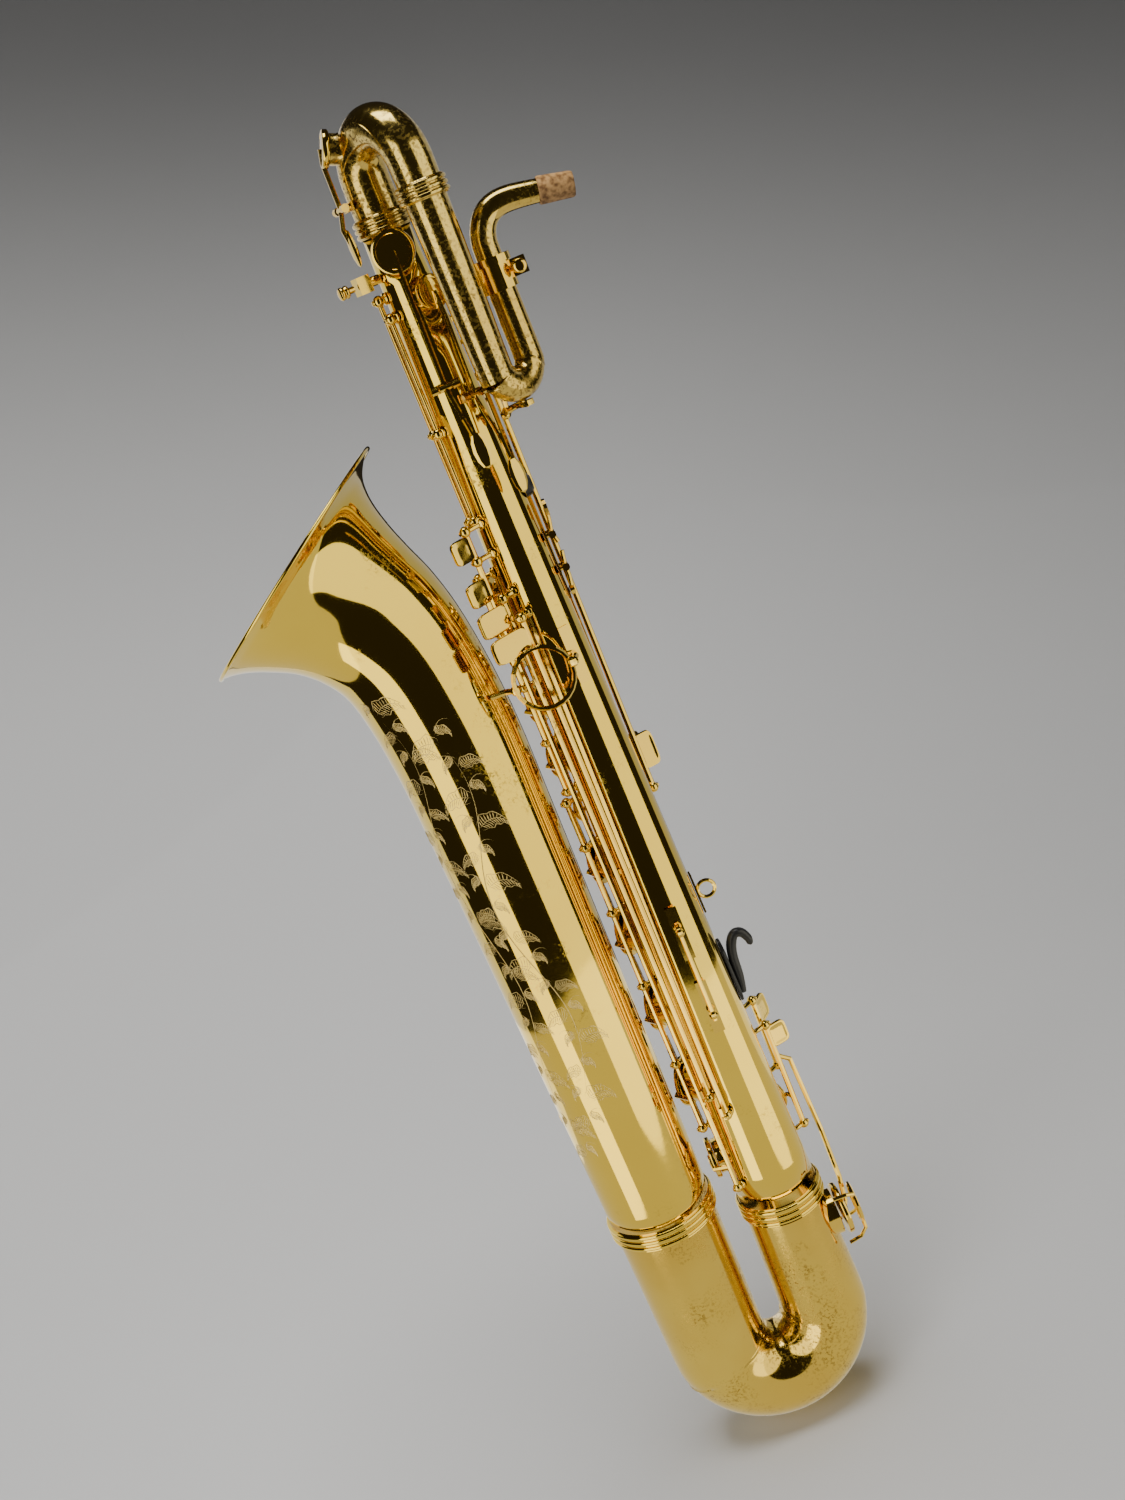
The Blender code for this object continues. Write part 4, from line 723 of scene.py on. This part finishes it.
# ---- Thumb hook ----
# A moulded black hook for the right thumb, at the back of the body. Its curved finger grows out
# of a long, rounded base plate.
made = bmesh.new()
pipe(made, [(33.8, 0, 378), (35.8, 0, 392), (36.8, 0, 410), (39.5, 0, 421), (44, 0, 427), (49.5, 0, 426),
            (53, 0, 420), (53.5, 0, 415), (53.4, 0, 413.2)],
     [3.0, 3.6, 4.0, 4.2, 4.0, 3.8, 3.4, 2.6, 1.0], 32, 8, closed_ends=True)
finished("thumb_hook_finger", made, "body", ("thumb_hook",), 0.0, BLACK)
made = bmesh.new()
lean = math.atan((body_r(372) - body_r(428)) / 56.0)
loops = []
for size, lift in ((0.02, 1.9), (0.7, 1.8), (0.93, 1.4), (1.0, 0.8), (1.0, -1.2), (0.02, -1.4)):
    loop = []
    for k in range(56):
        a = math.tau * k / 56
        y = math.copysign(abs(math.cos(a)) ** 0.5, math.cos(a)) * 6.5 * size
        z = math.copysign(abs(math.sin(a)) ** 0.5, math.sin(a)) * 28.0 * size
        loop.append(made.verts.new(at(body_r(400) + 1.4 + lift - z * math.tan(lean), y, 400.0 + z)))
    loops.append(loop)
skinned(made, loops, True)
finished("thumb_hook_base", made, "body", (), 0.0, BLACK)

# ---- Thumb screws ----
# The heads of the neck's clamping screw and of the music clip's screw. They are turned brass with
# a waist and two knurled rims, and turn with their screws.
KNURL = 0.16      # depth of the knurling's grooves
for body, x, y, z, d, r in (("neck_screw", 74.0, -35.9, 962.0, Vector((0.0, -1.0, 0.0)), 4.9),
                            ("lyre_screw", -36.0, -15.9, 989.0, Vector((-0.9, -0.4, 0.0)).normalized(), 4.5)):
    made = bmesh.new()
    spin = d.to_track_quat("Z", "Y").to_matrix()
    loops = []
    for wide, out, cut in ((0.3, 4.9, 0.0), (r - 0.5, 5.0, 0.0), (r, 5.5, KNURL), (r, 7.2, KNURL),
                           (r - 0.45, 7.7, 0.0), (r - 0.45, 8.6, 0.0), (r, 9.1, KNURL), (r, 10.8, KNURL),
                           (r - 0.6, 11.4, 0.0), (r * 0.5, 11.9, 0.0), (0.3, 12.0, 0.0)):
        loop = []
        for k in range(72):
            a = math.tau * k / 72
            rim = wide - (cut if k % 4 < 2 else 0.0)
            p = Vector((x, y, z)) + spin @ Vector((rim * math.cos(a), rim * math.sin(a), out))
            loop.append(made.verts.new(at(*p)))
        loops.append(loop)
    skinned(made, loops, True)
    finished(body + "_head", made, body, (), 0.0, RODS)


# ---- Engraving ----
# A generic vine of scrolls and veined leaves on the front of the bell, cut through the lacquer as
# fine bright lines. It holds no name, mark or letter.
def on_bell(a, z):
    """Point just proud of the bell's skin at an angle, in degrees, and a height."""
    low, high = 0.0, 11.0
    for _ in range(22):
        mid = (low + high) / 2.0
        if section_at(mid)[1] < z:
            low = mid
        else:
            high = mid
    return at(*bell_point(section_at(low), math.radians(a), -0.28))


ROUND = 1.15      # degrees round the bell for each millimetre up it
lines = []


def stroke(points):
    """One engraved line through (angle, height) pairs."""
    lines.append([on_bell(a, z) for a, z in points])


def scroll(a, z, size, start, hand):
    """Curling tendril that ends in a tight spiral."""
    made = []
    for i in range(26):
        t = i / 25.0
        turn = start + hand * t * 7.4
        r = size * (1.0 - t) ** 0.8
        made.append((a + math.cos(turn) * r * ROUND, z + math.sin(turn) * r))
    stroke(made)


def frond(a, z, size, heading, curl):
    """Pointed leaf with a midrib, a scalloped outline and hatched veins."""
    rib = []
    for i in range(15):
        t = i / 14.0
        turn = heading + curl * t * t
        rib.append((a + math.cos(turn) * size * t * ROUND, z + math.sin(turn) * size * t))
    stroke(rib)
    for side in (-1.0, 1.0):
        edge = []
        for i, (pa, pz) in enumerate(rib):
            t = i / 14.0
            turn = heading + curl * t * t + side * math.pi / 2.0
            wide = size * 0.27 * math.sin(math.pi * t ** 0.75) * (1.0 + 0.16 * math.sin(t * 22.0))
            edge.append((pa + math.cos(turn) * wide * ROUND, pz + math.sin(turn) * wide))
        stroke(edge)
        for i in range(2, 13):
            t = i / 14.0
            pa, pz = rib[i]
            ea, ez = edge[min(i + 1, 14)]
            across, up = ea - pa, ez - pz
            stroke([(pa, pz), (pa + across * 0.5, pz + up * 0.45), (pa + across * 0.82, pz + up * 0.86)])


for strand, (lean, low, high) in enumerate(((226.0, 300, 742), (262.0, 330, 700))):
    vine = []
    z = low
    while z < high:
        vine.append((lean + 13.0 * math.sin(z / 33.0 + strand), z))
        z += 3.0
    stroke(vine)
    count = int((high - low) / 24)
    for i in range(count):
        z = low + 10 + i * 24
        mid = lean + 13.0 * math.sin(z / 33.0 + strand)
        hand = 1.0 if i % 2 else -1.0
        frond(mid, z, 24.0 + 5.0 * math.sin(i * 2.3), math.pi / 2.0 - hand * 1.0, -hand * 0.9)
        scroll(mid - hand * 9.0, z + 9.0, 7.5, math.pi / 2.0 * (1 + hand), -hand)
        frond(mid, z + 8, 14.0, math.pi / 2.0 + hand * 1.2, hand * 1.1)
curve = bpy.data.curves.new("engraving", "CURVE")
curve.dimensions = "3D"
curve.bevel_depth = 0.00056
curve.bevel_resolution = 0
for points in lines:
    spline = curve.splines.new("POLY")
    spline.points.add(len(points) - 1)
    for point, p in zip(spline.points, points):
        point.co = (p.x, p.y, p.z, 1.0)
    for i, point in enumerate(spline.points):
        point.radius = 0.35 + 0.65 * math.sin(math.pi * (i + 0.5) / len(spline.points))
cut = bpy.data.objects.new("bell_engraving", curve)
bpy.context.scene.collection.objects.link(cut)
CUTS = brass("engraved_line", (0.93, 0.76, 0.36), 0.5, 0.3, 0.0, 0.1)
curve.materials.append(CUTS)
bpy.ops.object.select_all(action="DESELECT")
cut.select_set(True)
bpy.context.view_layer.objects.active = cut
bpy.ops.object.convert(target="MESH")
cut = bpy.context.view_layer.objects.active
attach(cut, "body")

# ---- Studio ----
# A round room of grey paper with a coved foot, its colour darkened towards the top and the right of the view
# as painted shade. Upright soft boxes show only in the metal, and two washes light only the paper and the
# dull parts. The camera is rolled, so the instrument leans.
FLOOR_Z, ROOM_R, COVE_R = -0.479, 3.2, 2.4
profile = [(0.0, FLOOR_Z), (0.5, FLOOR_Z), (ROOM_R - COVE_R, FLOOR_Z)]
for i in range(1, 17):
    a = math.pi / 2.0 * i / 16.0
    profile.append((ROOM_R - COVE_R + COVE_R * math.sin(a), FLOOR_Z + COVE_R * (1.0 - math.cos(a))))
profile.append((ROOM_R, 4.2))
bm = bmesh.new()
hub = bm.verts.new((0.0, 0.0, FLOOR_Z))
rows = [[bm.verts.new((r * math.cos(math.tau * k / 96), r * math.sin(math.tau * k / 96), z))
         for k in range(96)] for r, z in profile[1:]]
for k in range(96):
    bm.faces.new((hub, rows[0][k], rows[0][(k + 1) % 96]))
for one, two in zip(rows, rows[1:]):
    for k in range(96):
        bm.faces.new((one[k], two[k], two[(k + 1) % 96], one[(k + 1) % 96]))
shape = bpy.data.meshes.new("floor")
bm.to_mesh(shape)
bm.free()
shape.shade_smooth()
floor = bpy.data.objects.new("floor", shape)
bpy.context.scene.collection.objects.link(floor)
floor.visible_glossy = False
floor.visible_shadow = False
paper = bpy.data.materials.new("grey_paper_painted_shade")
paper.use_nodes = True
tree = paper.node_tree
shader = tree.nodes["Principled BSDF"]
shader.inputs["Roughness"].default_value = 0.9
place = tree.nodes.new("ShaderNodeTexCoord")
# Painted shade: the paper's colour is darkened along the camera's up and right directions, in place of light
# falling off across the backdrop.
painted_shade_ramps = []
for direction, low, high, start, end in (((0.384, 0.262, 0.885), 0.0, 2.0, 0.62, 0.12),
                                         ((0.923, -0.109, -0.368), -0.5, 1.5, 1.0, 0.5)):
    dot = tree.nodes.new("ShaderNodeVectorMath")
    dot.operation = "DOT_PRODUCT"
    dot.inputs[1].default_value = direction
    shade_fade = tree.nodes.new("ShaderNodeMapRange")
    shade_fade.interpolation_type = "SMOOTHSTEP"
    shade_fade.inputs["From Min"].default_value = low
    shade_fade.inputs["From Max"].default_value = high
    shade_fade.inputs["To Min"].default_value = start
    shade_fade.inputs["To Max"].default_value = end
    tree.links.new(place.outputs["Object"], dot.inputs[0])
    tree.links.new(dot.outputs["Value"], shade_fade.inputs["Value"])
    painted_shade_ramps.append(shade_fade)
# The two painted shade ramps are multiplied together into the paper's base colour.
painted_shade = tree.nodes.new("ShaderNodeMath")
painted_shade.operation = "MULTIPLY"
tree.links.new(painted_shade_ramps[0].outputs["Result"], painted_shade.inputs[0])
tree.links.new(painted_shade_ramps[1].outputs["Result"], painted_shade.inputs[1])
tree.links.new(painted_shade.outputs["Value"], shader.inputs["Base Color"])
shape.materials.append(paper)

world = bpy.data.worlds.new("room")
bpy.context.scene.world = world
world.use_nodes = True
world.node_tree.nodes["Background"].inputs["Color"].default_value = (0.022, 0.019, 0.015, 1)
world.node_tree.nodes["Background"].inputs["Strength"].default_value = 1.0


def lamp(name, azimuth, reach, low, high, width, brightness, colour, for_metal=True):
    """Soft box on a circle round the object, for the metal's reflections or for the rest."""
    a = math.radians(azimuth)
    spot = Vector((math.sin(a) * reach, -math.cos(a) * reach, (low + high) / 2.0))
    light = bpy.data.lights.new(name, "AREA")
    light.shape = "RECTANGLE"
    light.size, light.size_y = width, high - low
    light.energy = brightness * math.pi * width * (high - low)
    light.color = colour
    holder = bpy.data.objects.new(name, light)
    holder.location = spot
    holder.rotation_euler = (Vector((0.0, 0.0, spot.z)) - spot).to_track_quat("-Z", "Y").to_euler()
    holder.visible_camera = False
    holder.visible_glossy = for_metal
    holder.visible_diffuse = not for_metal
    bpy.context.scene.collection.objects.link(holder)
    return holder


WARM, CLEAR = (1.0, 0.94, 0.74), (1.0, 0.99, 0.97)
lamp("right_box", 53.0, 1.5, -1.15, 1.3, 1.50, 1.55, WARM)
lamp("left_box", -47.0, 1.5, -1.15, 1.3, 0.80, 2.2, WARM)
lamp("right_edge_box", 138.0, 1.8, -1.15, 1.3, 2.0, 0.45, CLEAR)
lamp("left_edge_box", -142.0, 1.8, -1.15, 1.3, 2.2, 0.95, CLEAR)
top = lamp("top_box", 0.0, 0.2, 2.2, 3.2, 1.6, 5.0, CLEAR)
top.rotation_euler = (0.0, 0.0, 0.0)
wash = lamp("paper_wash", 0.0, 0.3, 2.2, 4.2, 2.0, 11.0, CLEAR, False)
wash.rotation_euler = (0.0, 0.0, 0.0)
lamp("front_wash", -35.0, 2.0, 0.5, 2.3, 1.6, 2.6, CLEAR, False)
bounce = lamp("floor_bounce", 0.0, 0.0, -1.474, 0.526, 2.0, 0.55, WARM)
bounce.data.shape = "DISK"
bounce.location = (-0.05, 0.0, FLOOR_Z + 0.002)
bounce.rotation_euler = (math.pi, 0.0, 0.0)
eye = bpy.data.cameras.new("camera")
eye.lens = 40.8
eye.sensor_width = 36.0
eye.sensor_height = 36.0
eye.sensor_fit = "AUTO"
camera = bpy.data.objects.new("camera", eye)
right = Vector((0.92321, -0.109146, -0.36847))
up = Vector((0.384295, 0.262206, 0.885192))
back = Vector((0.0, -0.95882, 0.284015))
turn = Matrix((right, up, back)).transposed().to_4x4()
camera.matrix_world = Matrix.Translation((-0.06227, -1.23672, 0.51573)) @ turn
bpy.context.scene.collection.objects.link(camera)
bpy.context.scene.camera = camera

bpy.context.view_layer.update()
